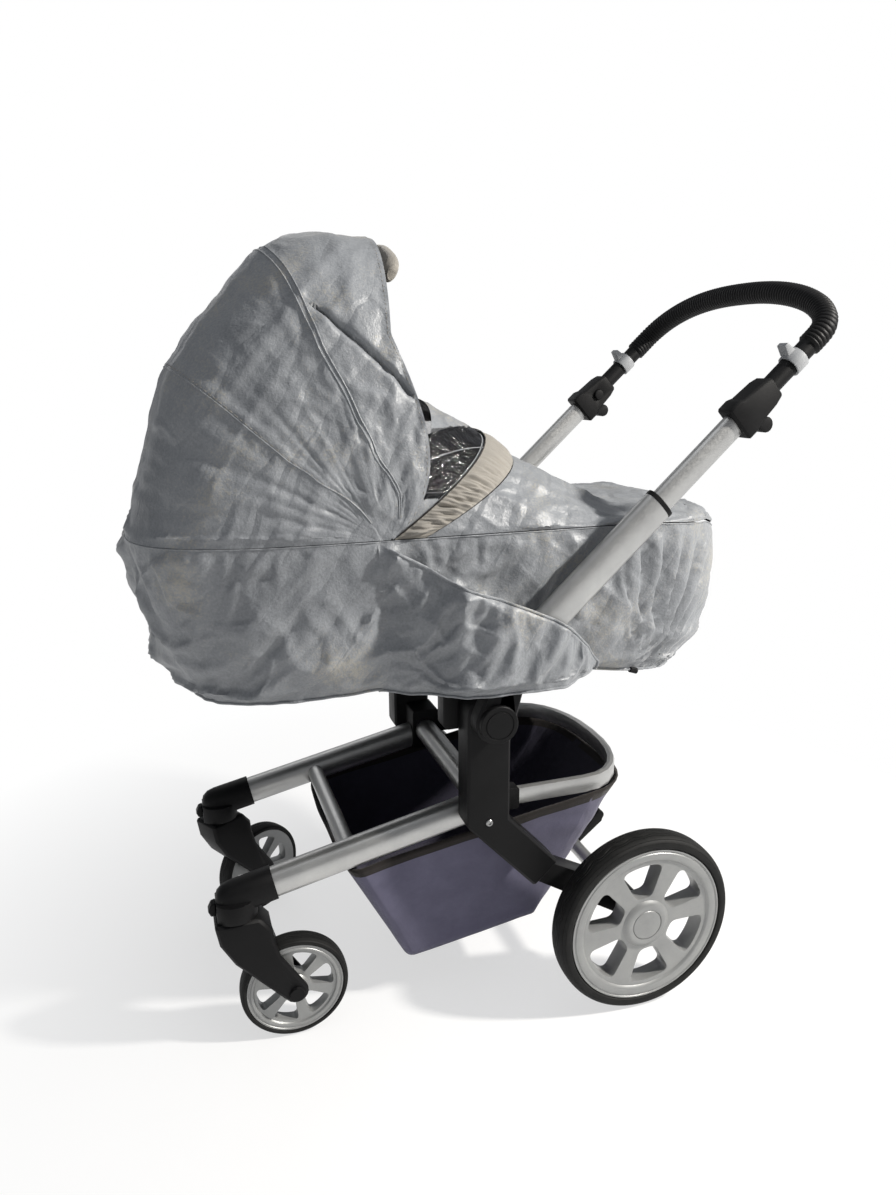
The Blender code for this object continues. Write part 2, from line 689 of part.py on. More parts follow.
FRONT_WHEEL = {
    "tyre": FRONT_TYRE_RADIUS,
    "rim": FRONT_RIM_RADIUS,
    "half": FRONT_TYRE_WIDTH / 2.0,
    "bore": FRONT_AXLE_RADIUS + 0.0002,
    "hub": 0.0165,
    "dish": 0.0080,
    "cap": 0.0,
    "segments": 20,
    "corner": 1,
    "phase": 12.0,
}
REAR_WHEEL = {
    "tyre": REAR_TYRE_RADIUS,
    "rim": REAR_RIM_RADIUS,
    "half": REAR_TYRE_WIDTH / 2.0,
    "bore": REAR_STUB_RADIUS + 0.0002,
    "hub": 0.0340,
    "dish": 0.0120,
    "cap": REAR_CAP_RADIUS,
    "segments": 28,
    "corner": 2,
    "phase": 36.6,
}


def build_wheel(parent, label, side, size):
    """Six-spoke rim with windows cut through its web, its tyre, and a hub cap at the rear."""
    place = Vector(parent["place"])
    rim, half, hub = size["rim"], size["half"], size["hub"]
    face = half - 0.0015
    flange = rim * 0.868
    dish = size["dish"]
    hollow = size["cap"] + GAP if size["cap"] else size["bore"]
    profile = [
        (size["bore"], -face),
        (hub * 0.8, -face),
        (hub, -dish),
        (flange, -dish),
        (rim, -face),
        (rim, face),
        (flange, face),
        (flange - rim * 0.02, face - 0.0035),
        (hub + rim * 0.05, face - 0.0060),
        (hub, face),
        (hollow, face),
    ]
    if size["cap"]:
        profile += [(hollow, face - 0.0055), (size["bore"], face - 0.0055)]
    outward = [(radius, side * height) for radius, height in profile]
    mesh = turned(outward, place, size["segments"], hollow=True)
    wheel = piece(label % "rim", mesh, parent, RIM_SILVER)
    cutters = bmesh.new()
    for i in range(6):
        phase = size["phase"] + 60.0 * i
        cut = wheel_window(hub + rim * 0.12, flange * 0.93, 46.0, phase, place, half * 2.0, size["corner"])
        held = bpy.data.meshes.new("window")
        bmesh.ops.recalc_face_normals(cut, faces=cut.faces)
        cut.to_mesh(held)
        cut.free()
        cutters.from_mesh(held)
    tool(label % "windows", cutters, wheel, "DIFFERENCE")
    tyre = size["tyre"]
    seat = rim + GAP
    wall = tyre - seat
    shape = [
        (seat, -0.84),
        (seat + wall * 0.35, -1.00),
        (seat + wall * 0.74, -0.88),
        (seat + wall * 0.95, -0.55),
        (tyre, -0.15),
        (tyre, 0.15),
        (seat + wall * 0.95, 0.55),
        (seat + wall * 0.74, 0.88),
        (seat + wall * 0.35, 1.00),
        (seat, 0.84),
    ]
    ring = [(radius, share * half) for radius, share in shape]
    mesh = turned(ring, place, size["segments"], hollow=True)
    piece(label % "tyre", mesh, parent, TYRE_RUBBER)
    if size["cap"]:
        base = face - 0.0055 + GAP
        cap = [
            (size["cap"], side * base),
            (size["cap"], side * (face - 0.0010)),
            (size["cap"] - 0.003, side * (face + 0.0012)),
        ]
        piece(label % "hub_cap", turned(cap, place, 20), parent, RIM_SILVER)


def build_rear_wheel(parent, name, side):
    """Rear wheel on its stub axle."""
    spin = pivot(f"rear_wheel_pivot_{name}", parent, (0.0, side * REAR_WHEEL_SIDE, AXLE_Z))
    build_wheel(spin, f"rear_%s_{name}", side, REAR_WHEEL)


def build_pedal(parent):
    """Foot pedal of the brake, which turns on the rear axle."""
    axis = pivot("brake_pivot", parent, (0.0, PEDAL_SIDE, AXLE_Z))
    bore = AXLE_TUBE_RADIUS + GAP
    half = PEDAL_WIDTH / 2.0
    ring = [(bore, -half), (0.0185, -half), (0.0185, half), (bore, half)]
    mesh = turned(ring, (0.0, PEDAL_SIDE, AXLE_Z), 20, hollow=True)
    pedal = piece("brake_pedal", mesh, axis, CHASSIS_BLACK)
    tip = (PEDAL_REACH * 0.80, AXLE_Z + PEDAL_REACH * 0.60)
    outline = [(0.0155, AXLE_Z - 0.006), (tip[0] + 0.004, tip[1] - 0.012)]
    outline += arc(tip, 0.0085, -50.0, 130.0, 6)
    outline += [(0.0135, AXLE_Z + 0.011)]
    tool("pedal_pad", prism(outline, PEDAL_SIDE - half, PEDAL_SIDE + half), pedal, "UNION")


def handle_point(along, across, side):
    """A point in the handle's own frame: along its slope from the hinge, square to it, and in Y."""
    c, s = math.cos(HANDLE_SLOPE), math.sin(HANDLE_SLOPE)
    return Vector((HINGE[0] + along * c - across * s, side, HINGE[1] + along * s + across * c))


def handle_prism(outline, low, high):
    """A flat outline in the handle's own frame, carried from one Y to another."""
    return loft([[handle_point(a, b, y) for a, b in outline] for y in (low, high)])


def handle_round(profile, along, across, segments):
    """A turned piece whose axis is Y, placed in the handle's frame."""
    middle = handle_point(along, across, 0.0)
    return turned(profile, middle, segments)


def build_lower_handle(parent, name, side):
    """Hinge knuckle, outer tube and the bush in the tube's mouth."""
    half = OUTER_THICKNESS / 2.0
    low, high = mirrored(KNEE_OUTER + GAP, HANDLE_SIDE + half, side)
    outline = arc((0.0, 0.0), 0.0320, 108.0, 332.0, 12)
    outline += [(OUTER_START - GAP, HANDLE_RISE - OUTER_WIDTH / 2.0), (OUTER_START - GAP, HANDLE_RISE + OUTER_WIDTH / 2.0)]
    knuckle = piece(f"hinge_knuckle_{name}", handle_prism(outline, low, high), parent, CHASSIS_BLACK)
    bevel(knuckle, 0.003)
    face = HANDLE_SIDE + half
    cap = [(0.0285, side * (face - 0.002)), (0.0285, side * (face + 0.0045)), (0.0265, side * (face + 0.0060))]
    tool(f"hinge_cap_{name}", handle_round(cap, 0.0, 0.0, 22), knuckle, "UNION")
    start = handle_point(OUTER_START, HANDLE_RISE, side * HANDLE_SIDE)
    end = handle_point(OUTER_END, HANDLE_RISE, side * HANDLE_SIDE)
    tube = straight_tube(start, end, OUTER_THICKNESS, OUTER_WIDTH, OUTER_WALL)
    piece(f"handle_outer_tube_{name}", tube, parent, TUBE_SILVER)
    rings = []
    lip = 0.0010
    for along, width, thick in (
        (OUTER_END + GAP, OUTER_WIDTH + lip, OUTER_THICKNESS + lip),
        (OUTER_END + BUSH_LENGTH, OUTER_WIDTH + lip, OUTER_THICKNESS + lip),
        (OUTER_END + BUSH_LENGTH, INNER_WIDTH + 2.0 * GAP, INNER_THICKNESS + 2.0 * GAP),
        (OUTER_END + GAP, INNER_WIDTH + 2.0 * GAP, INNER_THICKNESS + 2.0 * GAP),
    ):
        section = oval(thick, width, 16, 2.4)
        rings.append([handle_point(along, HANDLE_RISE + b, side * HANDLE_SIDE + a) for a, b in section])
    piece(f"handle_bush_{name}", loft(rings, loop=True), parent, CHASSIS_BLACK)


BLOCK_START = OUTER_END + INNER_SHOWN
BLOCK_END = BLOCK_START + BLOCK_LENGTH
CLIP_START = BLOCK_END + CLIP_OFFSET
GRIP_START = BLOCK_END + GRIP_OFFSET
BEND_START = BLOCK_END + BEND_OFFSET
BAR_TOP = BLOCK_END + BAR_REACH


def build_upper_handle(parent, name, side):
    """Inner tube, the joint block above it and the block's release button."""
    start = handle_point(OUTER_END - INNER_HIDDEN, HANDLE_RISE, side * HANDLE_SIDE)
    end = handle_point(BLOCK_START - GAP, HANDLE_RISE, side * HANDLE_SIDE)
    tube = straight_tube(start, end, INNER_THICKNESS, INNER_WIDTH, INNER_WALL)
    piece(f"handle_inner_tube_{name}", tube, parent, TUBE_SILVER)
    wide = BLOCK_WIDTH / 2.0
    half = BLOCK_THICKNESS / 2.0
    outline = [
        (BLOCK_START, HANDLE_RISE - wide),
        (BLOCK_START + 0.022, HANDLE_RISE - wide),
        (BLOCK_START + 0.026, HANDLE_RISE - wide + 0.004),
        (BLOCK_END - 0.016, HANDLE_RISE - wide + 0.007),
        (BLOCK_END, HANDLE_RISE - BAR_TUBE_RADIUS - 0.002),
        (BLOCK_END, HANDLE_RISE + BAR_TUBE_RADIUS + 0.002),
        (BLOCK_END - 0.016, HANDLE_RISE + wide - 0.007),
        (BLOCK_START + 0.026, HANDLE_RISE + wide - 0.004),
        (BLOCK_START + 0.022, HANDLE_RISE + wide),
        (BLOCK_START, HANDLE_RISE + wide),
    ]
    low, high = mirrored(HANDLE_SIDE - half, HANDLE_SIDE + half, side)
    block = piece(f"joint_block_{name}", handle_prism(outline, low, high), parent, CHASSIS_BLACK)
    bevel(block, 0.003)
    lug = [(0.0115, side * (HANDLE_SIDE - 0.014)), (0.0115, side * (HANDLE_SIDE + 0.014))]
    turned_lug = handle_round(lug, BLOCK_START + 0.034, HANDLE_RISE - wide - 0.003, 16)
    tool(f"block_lug_{name}", turned_lug, block, "UNION")
    inner = HANDLE_SIDE - half
    middle = BLOCK_START + 0.045
    well = [(BUTTON_RADIUS + GAP, side * (inner - 0.004)), (BUTTON_RADIUS + GAP, side * (inner + 0.0080))]
    tool(f"button_well_{name}", handle_round(well, middle, HANDLE_RISE, 16), block, "DIFFERENCE")
    axis = pivot(f"height_button_pivot_{name}", parent, handle_point(middle, HANDLE_RISE, side * inner))
    shape = [
        (BUTTON_RADIUS, side * (inner + 0.0035)),
        (BUTTON_RADIUS, side * (inner - 0.0030)),
        (BUTTON_RADIUS - 0.0015, side * (inner - 0.0045)),
    ]
    piece(f"height_button_{name}", handle_round(shape, middle, HANDLE_RISE, 16), axis, CHASSIS_BLACK)


def handlebar_path():
    """Middle line of the handlebar from the left block over the top to the right block."""
    start = BLOCK_END + GAP
    straight = [start, CLIP_START - 0.010, GRIP_START]
    path = [handle_point(a, HANDLE_RISE, -HANDLE_SIDE) for a in straight]
    steps = 24
    for i in range(steps + 1):
        turn = math.pi * (i / steps - 0.5)
        y = HANDLE_SIDE * math.copysign(abs(math.sin(turn)) ** 0.87, turn)
        rise = max(math.cos(turn), 0.0) ** 0.87
        lift = HANDLE_RISE + BAR_LIFT * rise ** 2
        path.append(handle_point(BEND_START + (BAR_TOP - BEND_START) * rise, lift, y))
    path += [handle_point(a, HANDLE_RISE, HANDLE_SIDE) for a in reversed(straight)]
    return path


def frames(path):
    """The two cross directions of each point of the handlebar's middle line."""
    upward = handle_point(0.0, 1.0, 0.0) - handle_point(0.0, 0.0, 0.0)
    result = []
    last = len(path) - 1
    for i in range(len(path)):
        along = (path[min(i + 1, last)] - path[max(i - 1, 0)]).normalized()
        second = along.cross(upward).normalized()
        result.append((second.cross(along).normalized(), second))
    return result


def ring_at(path, axes, place, radius, count=8):
    """A ring of the handlebar at a place counted in path steps."""
    low = min(int(place), len(path) - 2)
    share = place - low
    middle = path[low].lerp(path[low + 1], share)
    first = axes[low][0].lerp(axes[low + 1][0], share)
    second = axes[low][1].lerp(axes[low + 1][1], share)
    ring = []
    for i in range(count):
        turn = 2.0 * math.pi * i / count
        ring.append(middle + first * (radius * math.cos(turn)) + second * (radius * math.sin(turn)))
    return ring


def build_handlebar(parent):
    """Black bar bent over the top, with a ribbed grip slid along its bend."""
    path = handlebar_path()
    axes = frames(path)
    rings = [ring_at(path, axes, i, BAR_TUBE_RADIUS) for i in range(len(path))]
    piece("handlebar", loft(rings), parent, CHASSIS_BLACK)
    first, last = 2, len(path) - 3
    count = GRIP_RIBS * 2
    rings = []
    for i in range(count + 1):
        place = first + (last - first) * i / count
        radius = GRIP_RADIUS if i % 2 else GRIP_RADIUS - 0.0012
        rings.append(ring_at(path, axes, place, radius))
    bore = BAR_TUBE_RADIUS + GAP
    rings += [ring_at(path, axes, i, bore) for i in range(last, first - 1, -1)]
    piece("handlebar_grip", loft(rings, loop=True), parent, GRIP_FOAM)


def build_clip(parent, name, side):
    """Sliding collar with a finger tab that frees the fold."""
    start = handle_point(CLIP_START, HANDLE_RISE, side * HANDLE_SIDE)
    axis = pivot(f"fold_slider_pivot_{name}", parent, start)
    rings = []
    inside = BAR_TUBE_RADIUS + GAP
    for along, radius in ((0.0, CLIP_RADIUS), (CLIP_LENGTH, CLIP_RADIUS), (CLIP_LENGTH, inside), (0.0, inside)):
        section = oval(2.0 * radius, 2.0 * radius, 16, 2.0)
        rings.append([handle_point(CLIP_START + along, HANDLE_RISE + b, side * HANDLE_SIDE + a) for a, b in section])
    clip = piece(f"fold_slider_{name}", loft(rings, loop=True), axis, BRIGHT_METAL)
    base = HANDLE_RISE + CLIP_RADIUS - 0.0015
    outline = [
        (CLIP_START + 0.004, base),
        (CLIP_START + 0.018, base),
        (CLIP_START + 0.014, base + 0.016),
        (CLIP_START + 0.008, base + 0.016),
    ]
    low, high = mirrored(HANDLE_SIDE - 0.009, HANDLE_SIDE + 0.009, side)
    tool(f"slider_tab_{name}", handle_prism(outline, low, high), clip, "UNION")


def build_adapter(parent, name, side):
    """Adapter on the knee bracket that the carrycot stands on."""
    top = TUB_FLOOR_Z - GAP
    foot = top - ADAPTER_HEIGHT
    corners = ((-0.300, foot), (-0.215, foot), (-0.205, foot + 0.042), (-0.205, top), (-0.300, top))
    low, high = mirrored(0.150, KNEE_INNER - GAP, side)
    adapter = piece(f"carrycot_adapter_{name}", prism(rounded(corners, 0.008, 2), low, high), parent, CHASSIS_BLACK)
    bevel(adapter, 0.0015)


def build_tub(parent):
    """Carrycot body: an open cloth-covered tub with a padded rim and two hood ears."""
    count = 24
    inset = 0.006
    stations = (
        (RIM_Z, TUB_FRONT_X, TUB_FOOT_X, TUB_SIDE),
        (RIM_Z - 0.018, TUB_FRONT_X, TUB_FOOT_X, TUB_SIDE),
        (RIM_Z - 0.024, TUB_FRONT_X + inset, TUB_FOOT_X - inset, TUB_SIDE - inset),
        (0.655, TUB_FRONT_X + 0.022, TUB_FOOT_X - 0.018, TUB_SIDE - 0.016),
        (TUB_FLOOR_Z + 0.022, TUB_BOTTOM_FRONT_X - 0.022, TUB_BOTTOM_FOOT_X + 0.020, TUB_BOTTOM_SIDE + 0.012),
        (TUB_FLOOR_Z, TUB_BOTTOM_FRONT_X, TUB_BOTTOM_FOOT_X, TUB_BOTTOM_SIDE),
    )
    rows = []
    for z, front, foot, side in stations:
        outline = plan_outline(front, foot, side, count, 0.30, 0.20)
        rows.append([Vector((x, y, z)) for x, y in outline])
    mesh, grid = sheet(rows, closed=True)
    mesh.faces.new(grid[-1])
    bmesh.ops.recalc_face_normals(mesh, faces=mesh.faces)
    tub = piece("carrycot_tub", mesh, parent, COT_CLOTH, smooth=False)
    thicken(tub, TUB_WALL, -1.0)
    ear_in, ear_out = 0.1795, BOWS[0][3] - 2.0 * GAP
    for name, side in SIDES:
        low, high = mirrored(ear_in, ear_out, side)
        x, z = HOOD_PIVOT
        outline = [(x - 0.013, RIM_Z - 0.030), (x + 0.013, RIM_Z - 0.030)] + arc((x, z), 0.013, 0.0, 180.0, 6)
        tool(f"hood_ear_{name}", prism(outline, low, high), tub, "UNION")
        low, high = mirrored(ear_out - 0.004, TUB_SIDE - 0.004, side)
        foot, head = RIM_Z - 0.030, RIM_Z - 0.004
        outline = [(x - 0.013, foot), (x + 0.013, foot), (x + 0.013, head), (x - 0.013, head)]
        tool(f"ear_root_{name}", prism(outline, low, high), tub, "UNION")


def build_mattress(parent):
    """Crowned mattress that lies on the tub's floor."""
    count = 24
    low = TUB_FLOOR_Z + TUB_WALL + GAP
    rings = []
    for share, inset in ((0.0, 0.010), (0.30, 0.0), (0.70, 0.002), (0.90, 0.014), (1.0, 0.045)):
        front = TUB_BOTTOM_FRONT_X + 0.014 + inset
        foot = TUB_BOTTOM_FOOT_X - 0.014 - inset
        outline = plan_outline(front, foot, 0.148 - inset, count, 0.25, 0.18)
        rings.append([Vector((x, y, low + MATTRESS_THICKNESS * share)) for x, y in outline])
    piece("mattress", loft(rings), parent, MATTRESS_CLOTH)


def build_bow(parent, index):
    """One flat bow of the hood, from eye to eye over the top."""
    name, angle, reach, inset = BOWS[index]
    turn = math.radians(angle)
    outward = Vector((math.cos(turn), 0.0, math.sin(turn)))
    across = Vector((-math.sin(turn), 0.0, math.cos(turn)))
    hub = Vector((HOOD_PIVOT[0], 0.0, HOOD_PIVOT[1]))
    axis = pivot(f"{name}_pivot", parent, hub)
    side = inset + BOW_THICKNESS / 2.0
    profile = []
    for i in range(17):
        turn = math.pi * i / 16
        across_share = math.copysign(abs(math.cos(turn)) ** (2.0 / 2.7), -math.cos(turn))
        profile.append((reach * math.sin(turn) ** (2.0 / 2.7), side * across_share))
    path = [hub + outward * r + Vector((0.0, y, 0.0)) for r, y in profile]
    half, thin = BOW_WIDTH / 2.0, BOW_THICKNESS / 2.0
    rings = []
    last = len(path) - 1
    for i, place in enumerate(path):
        before = (place - path[max(i - 1, 0)]).normalized() if i else Vector((0.0, 0.0, 0.0))
        after = (path[min(i + 1, last)] - place).normalized() if i < last else Vector((0.0, 0.0, 0.0))
        along = (before + after).normalized()
        outside = along.cross(across).normalized()
        section = ((-half, -thin), (half, -thin), (half, thin), (-half, thin))
        rings.append([place + across * a + outside * b for a, b in section])
    bow = piece(name, loft(rings), axis, BOW_STEEL)
    return axis


def hood_rows(inset, bottom, setback=0.0, columns=COLUMNS):
    """Cloth over the bows, row by row from the waist in front to the open edge."""
    rows = []
    last = len(HOOD_TOPS) - 1
    for step, (low_x, top, power, bulge) in enumerate(zip(HOOD_ROOTS, HOOD_TOPS, HOOD_POWERS, HOOD_BULGES)):
        back = setback * 0.4 * max(0, step - last + 2)
        low_x -= back
        top = (top[0] - back, top[1])
        if bulge:
            bulge -= setback * (2.2 if step == last else 1.0)
        row = []
        for i in range(columns + 1):
            turn = math.pi * i / columns
            c, s = math.cos(turn), max(math.sin(turn), 0.0)
            share = s ** (2.0 / power)
            y = math.copysign(abs(c) ** (2.0 / power), c) * (COVER_SIDE - inset)
            reach = Vector((top[0] - low_x, top[1] - bottom))
            length = max(reach.length - inset, 0.01) / reach.length
            forward = bulge * math.sin(math.pi * min(share / 0.66, 1.0) ** 0.7)
            x = low_x + reach.x * length * share + forward
            z = bottom + reach.y * length * share
            row.append(Vector((x, y, z)))
        rows.append(row)
    return rows


def build_hood_cloth(parent):
    """The carrycot's own hood cloth, which the bows hold up under the rain cover."""
    mesh, _ = sheet(hood_rows(HOOD_LINING_GAP, RIM_Z + GAP, HOOD_LINING_SETBACK))
    hood = piece("hood_cloth", mesh, parent, COT_CLOTH, smooth=False)
    thicken(hood, CLOTH)


def band_edge(low, columns=COLUMNS):
    """Edge of the gathered band: from one waist up over the slope to the other."""
    base_x, top = low
    row = []
    for i in range(columns + 1):
        turn = math.pi * i / columns
        c, s = math.cos(turn), max(math.sin(turn), 0.0)
        share = s ** (2.0 / 2.2)
        y = math.copysign(abs(c) ** (2.0 / 2.6), c) * (COVER_SIDE - 0.0014)
        row.append(Vector((base_x + (top[0] - base_x) * share, y, COVER_WAIST_Z + 0.0007 + (top[1] - COVER_WAIST_Z) * share)))
    return row


WINDOW_LOW = (-0.380, (-0.196, 0.905))
BAND_HIGH = (-0.378, (-0.194, 0.9045))
BAND_LOW = (-0.334, (-0.150, 0.872))
APRON_HIGH = (-0.332, (-0.148, 0.8715))


def lerp_rows(first, last, shares):
    """Rows of points between two edges."""
    return [[a.lerp(b, share) for a, b in zip(first, last)] for share in shares]


def build_window(parent):
    """Clear film between the hood's open edge and the gathered band."""
    low = band_edge(WINDOW_LOW)
    high = []
    for i, point in enumerate(low):
        share = math.sin(math.pi * i / (len(low) - 1)) ** 0.6
        high.append(Vector((-0.380 + 0.090 * share, point.y * (1.0 - 0.05 * share), COVER_WAIST_Z + 0.002 + 0.178 * share)))
    for end in (0, -1):
        high[end] = low[end] + Vector((-0.001, 0.0, 0.006))
    mesh, _ = sheet(lerp_rows(low, high, (0.0, 0.5, 1.0)))
    window = piece("cover_window", mesh, parent, CLEAR_FILM, smooth=False)
    thicken(window, CLOTH)


def build_band(parent):
    """Beige band gathered along the window's lower edge."""
    mesh, _ = sheet(lerp_rows(band_edge(BAND_HIGH), band_edge(BAND_LOW), (0.0, 0.5, 1.0)))
    band = piece("cover_band", mesh, parent, BAND_CLOTH, smooth=False)
    thicken(band, CLOTH)


def waist_z(x):
    """Height of the seam round the cover's waist, which drops at the foot."""
    return COVER_WAIST_Z - blended(WAIST_FALL, x)


def foot_fold(x, y):
    """Main folds of the gathered foot, as an outward offset."""
    share = max(0.0, min(1.0, (x - 0.02) / 0.14))
    return 0.0040 * share * math.sin(95.0 * y)


def build_apron(parent):
    """Top panel from the band to the foot, laid over the tub."""
    columns = COLUMNS
    top = band_edge(APRON_HIGH, columns)
    rows = [top]
    start = COVER_FOOT_X - COVER_FOOT_DEPTH
    for base_x, (top_x, top_z) in zip(APRON_ROOTS, APRON_TOPS):
        row = []
        for i in range(columns + 1):
            turn = math.pi * i / columns
            c, s = math.cos(turn), max(math.sin(turn), 0.0)
            share = s ** (2.0 / 2.4)
            x = base_x + (top_x - base_x) * share
            reach = max(0.0, (x - start) / COVER_FOOT_DEPTH)
            side = (COVER_SIDE - 0.0014) * max(0.0, 1.0 - reach ** COVER_FOOT_POWER) ** (1.0 / COVER_FOOT_POWER)
            y = math.copysign(abs(c) ** (2.0 / 2.6), c) * side
            edge = waist_z(x) + 0.0010
            z = edge + max(top_z - waist_z(top_x), 0.001) * share
            row.append(Vector((x, y, z)))
        rows.append(row)
    mesh, _ = sheet(rows)
    apron = piece("cover_apron", mesh, parent, COVER_CLOTH, smooth=False)
    thicken(apron, CLOTH)


SKIRT_DRAW = ((0.0, 0.0), (0.33, 0.015), (0.68, 0.036), (0.90, 0.053), (1.0, 0.070))
SKIRT_NARROW = ((0.0, 1.0), (0.33, 0.996), (0.68, 0.982), (0.90, 0.962), (1.0, 0.935))


def hem_z(x):
    """Height of the elasticated hem under the tub."""
    return blended(HEM, x)


def build_skirt(parent):
    """Cloth round the tub from the waist seam down to the elasticated hem."""
    count = 60
    rows = []
    for share, draw in SKIRT_DRAW:
        narrow = blended(SKIRT_NARROW, share)
        front = COVER_FRONT_X + draw
        foot = COVER_FOOT_X - draw * 0.5
        outline = plan_outline(front, foot, COVER_SIDE * narrow, count, 0.32, COVER_FOOT_DEPTH, 3.2, COVER_FOOT_POWER)
        row = []
        for x, y in outline:
            top = waist_z(x)
            hem = hem_z(x)
            fold = foot_fold(x, y) * (0.3 + share)
            out = Vector((x + 0.30, y, 0.0)).normalized() * fold
            row.append(Vector((x, y, top + (hem - top) * share)) + out)
        rows.append(row)
    mesh, _ = sheet(rows, closed=True)
    skirt = piece("cover_skirt", mesh, parent, COVER_CLOTH, smooth=False)
    thicken(skirt, CLOTH)


def build_flap(parent, name, side):
    """Part of the cover that swells out over the foot of the handle and its hinge."""
    outside = HANDLE_SIDE + OUTER_THICKNESS / 2.0 + 0.0110
    stations = (
        (-0.400, COVER_SIDE, 0.566, 0.770),
        (-0.345, 0.2340, 0.562, 0.742),
        (-0.298, outside - 0.0035, 0.558, 0.715),
        (-0.215, outside, 0.556, 0.684),
        (-0.150, outside, 0.557, 0.652),
        (-0.108, outside - 0.0060, 0.560, 0.627),
        (-0.072, 0.2400, 0.566, 0.602),
    )
    rows = []
    for x, out, low, high in stations:
        row = []
        for k in range(4):
            share = k / 3.0
            z = low + (high - low) * share
            y = out + (out - COVER_SIDE) * 0.05 * math.sin(math.pi * share)
            if out == COVER_SIDE:
                depth = (COVER_WAIST_Z - z) / (COVER_WAIST_Z - hem_z(x))
                y = COVER_SIDE * blended(SKIRT_NARROW, depth) + CLOTH + GAP + 0.004 * (1.0 - share)
            row.append(Vector((x, side * y, z)))
        rows.append(row)
    mesh, _ = sheet(rows)
    flap = piece(f"cover_flap_{name}", mesh, parent, COVER_CLOTH, smooth=False)
    thicken(flap, CLOTH)


def build_rain_hood(parent):
    """Rain cover over the hood, from the waist seam to the open edge."""
    mesh, _ = sheet(hood_rows(0.0, COVER_WAIST_Z + 0.0012))
    cover = piece("cover_hood", mesh, parent, COVER_CLOTH, smooth=False)
    thicken(cover, CLOTH)


def build_visor(parent):
    """Rolled beige visor along the top of the open edge, carried by the front bow."""
    path = []
    for i in range(9):
        turn = math.radians(-48.0 + 12.0 * i)
        y = VISOR_REACH * math.sin(turn) / math.sin(math.radians(48.0))
        drop = VISOR_DROP * (1.0 - math.cos(turn)) / (1.0 - math.cos(math.radians(48.0)))
        path.append(Vector((VISOR_PLACE[0], y, VISOR_PLACE[1] - drop)))
    section = oval(VISOR_WIDTH, VISOR_THICKNESS, 10, 2.2)
    piece("cover_visor", loft(swept(path, section, Vector((0.4, 0.0, 0.9)))), parent, BAND_CLOTH)


def build():
    """Builds the pram, body by body."""
    clear_scene()
    root = pivot("pram", None, (0.0, 0.0, 0.0))
    root.location.x = REAR_AXLE_X
    handle = pivot("handle_hinge", root, (HINGE[0], 0.0, HINGE[1]))
    slide = pivot("handle_slide", handle, handle_point(OUTER_END, HANDLE_RISE, 0.0))
    build_cross_members(root)
    build_basket(root)
    build_pedal(root)
    for name, side in SIDES:
        build_leg(root, name, side)
        build_knee(root, name, side)
        build_housing(root, name, side)
        build_lock(root, name, side)
        build_fork(root, name, side)
        build_rear_wheel(root, name, side)
        build_adapter(root, name, side)
        build_lower_handle(handle, name, side)
        build_upper_handle(slide, name, side)
        build_clip(slide, name, side)
    build_handlebar(slide)
    build_tub(root)
    build_mattress(root)
    build_bow(root, 0)
    build_bow(root, 1)
    front_bow = build_bow(root, 2)
    build_hood_cloth(root)
    build_rain_hood(root)
    build_window(root)
    build_band(root)
    build_apron(root)
    build_skirt(root)
    build_visor(front_bow)
    for name, side in SIDES:
        build_flap(root, name, side)


build()
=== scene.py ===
"""A pram with a hooded carrycot under a rain cover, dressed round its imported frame."""

import json
import logging
import math
from dataclasses import dataclass, field
from enum import Enum
from typing import Any, Callable, Iterable, Optional, Sequence

import bmesh
import bpy
from mathutils import Matrix, Vector, noise
from mathutils.bvhtree import BVHTree
from mathutils.kdtree import KDTree

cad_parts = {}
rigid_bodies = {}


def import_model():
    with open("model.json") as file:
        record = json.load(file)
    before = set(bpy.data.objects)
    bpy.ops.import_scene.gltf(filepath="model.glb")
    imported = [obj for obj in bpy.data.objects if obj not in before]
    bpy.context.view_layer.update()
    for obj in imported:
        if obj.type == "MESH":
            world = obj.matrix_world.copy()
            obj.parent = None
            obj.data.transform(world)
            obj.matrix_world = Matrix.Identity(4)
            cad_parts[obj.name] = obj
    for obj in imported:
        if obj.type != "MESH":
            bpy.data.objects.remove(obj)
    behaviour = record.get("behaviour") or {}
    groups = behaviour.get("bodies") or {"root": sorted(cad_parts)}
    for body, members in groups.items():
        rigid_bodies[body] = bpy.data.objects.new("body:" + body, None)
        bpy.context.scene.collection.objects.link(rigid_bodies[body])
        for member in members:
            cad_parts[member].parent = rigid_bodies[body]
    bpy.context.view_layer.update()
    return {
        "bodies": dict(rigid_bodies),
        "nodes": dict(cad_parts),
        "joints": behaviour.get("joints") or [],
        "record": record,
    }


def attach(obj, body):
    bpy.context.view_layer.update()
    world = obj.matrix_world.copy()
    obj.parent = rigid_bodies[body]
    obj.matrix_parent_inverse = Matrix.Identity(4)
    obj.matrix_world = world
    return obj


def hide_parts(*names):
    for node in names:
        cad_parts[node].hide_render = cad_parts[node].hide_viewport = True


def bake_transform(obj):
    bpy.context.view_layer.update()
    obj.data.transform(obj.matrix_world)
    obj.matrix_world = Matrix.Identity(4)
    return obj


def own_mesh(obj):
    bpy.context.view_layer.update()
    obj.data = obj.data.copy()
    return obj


logging.basicConfig(level=logging.INFO, format="%(message)s")
log = logging.getLogger("pram")

MM = 0.001
REAR_AXLE_X = 0.2035
SIDES = (("left", -1.0), ("right", 1.0))
Point2 = tuple[float, float]
Surface = Callable[[float, float], Vector]


def world(x: float, y: float, z: float) -> Vector:
    """Turns a point measured from the rear axle's foot into the frame's own place.

    Args:
        x: Distance behind (plus) or before (minus) the rear axle, in metres.
        y: Distance to the side.
        z: Height over the ground.

    Returns:
        The same point in the row frame.
    """
    return Vector((x + REAR_AXLE_X, y, z))


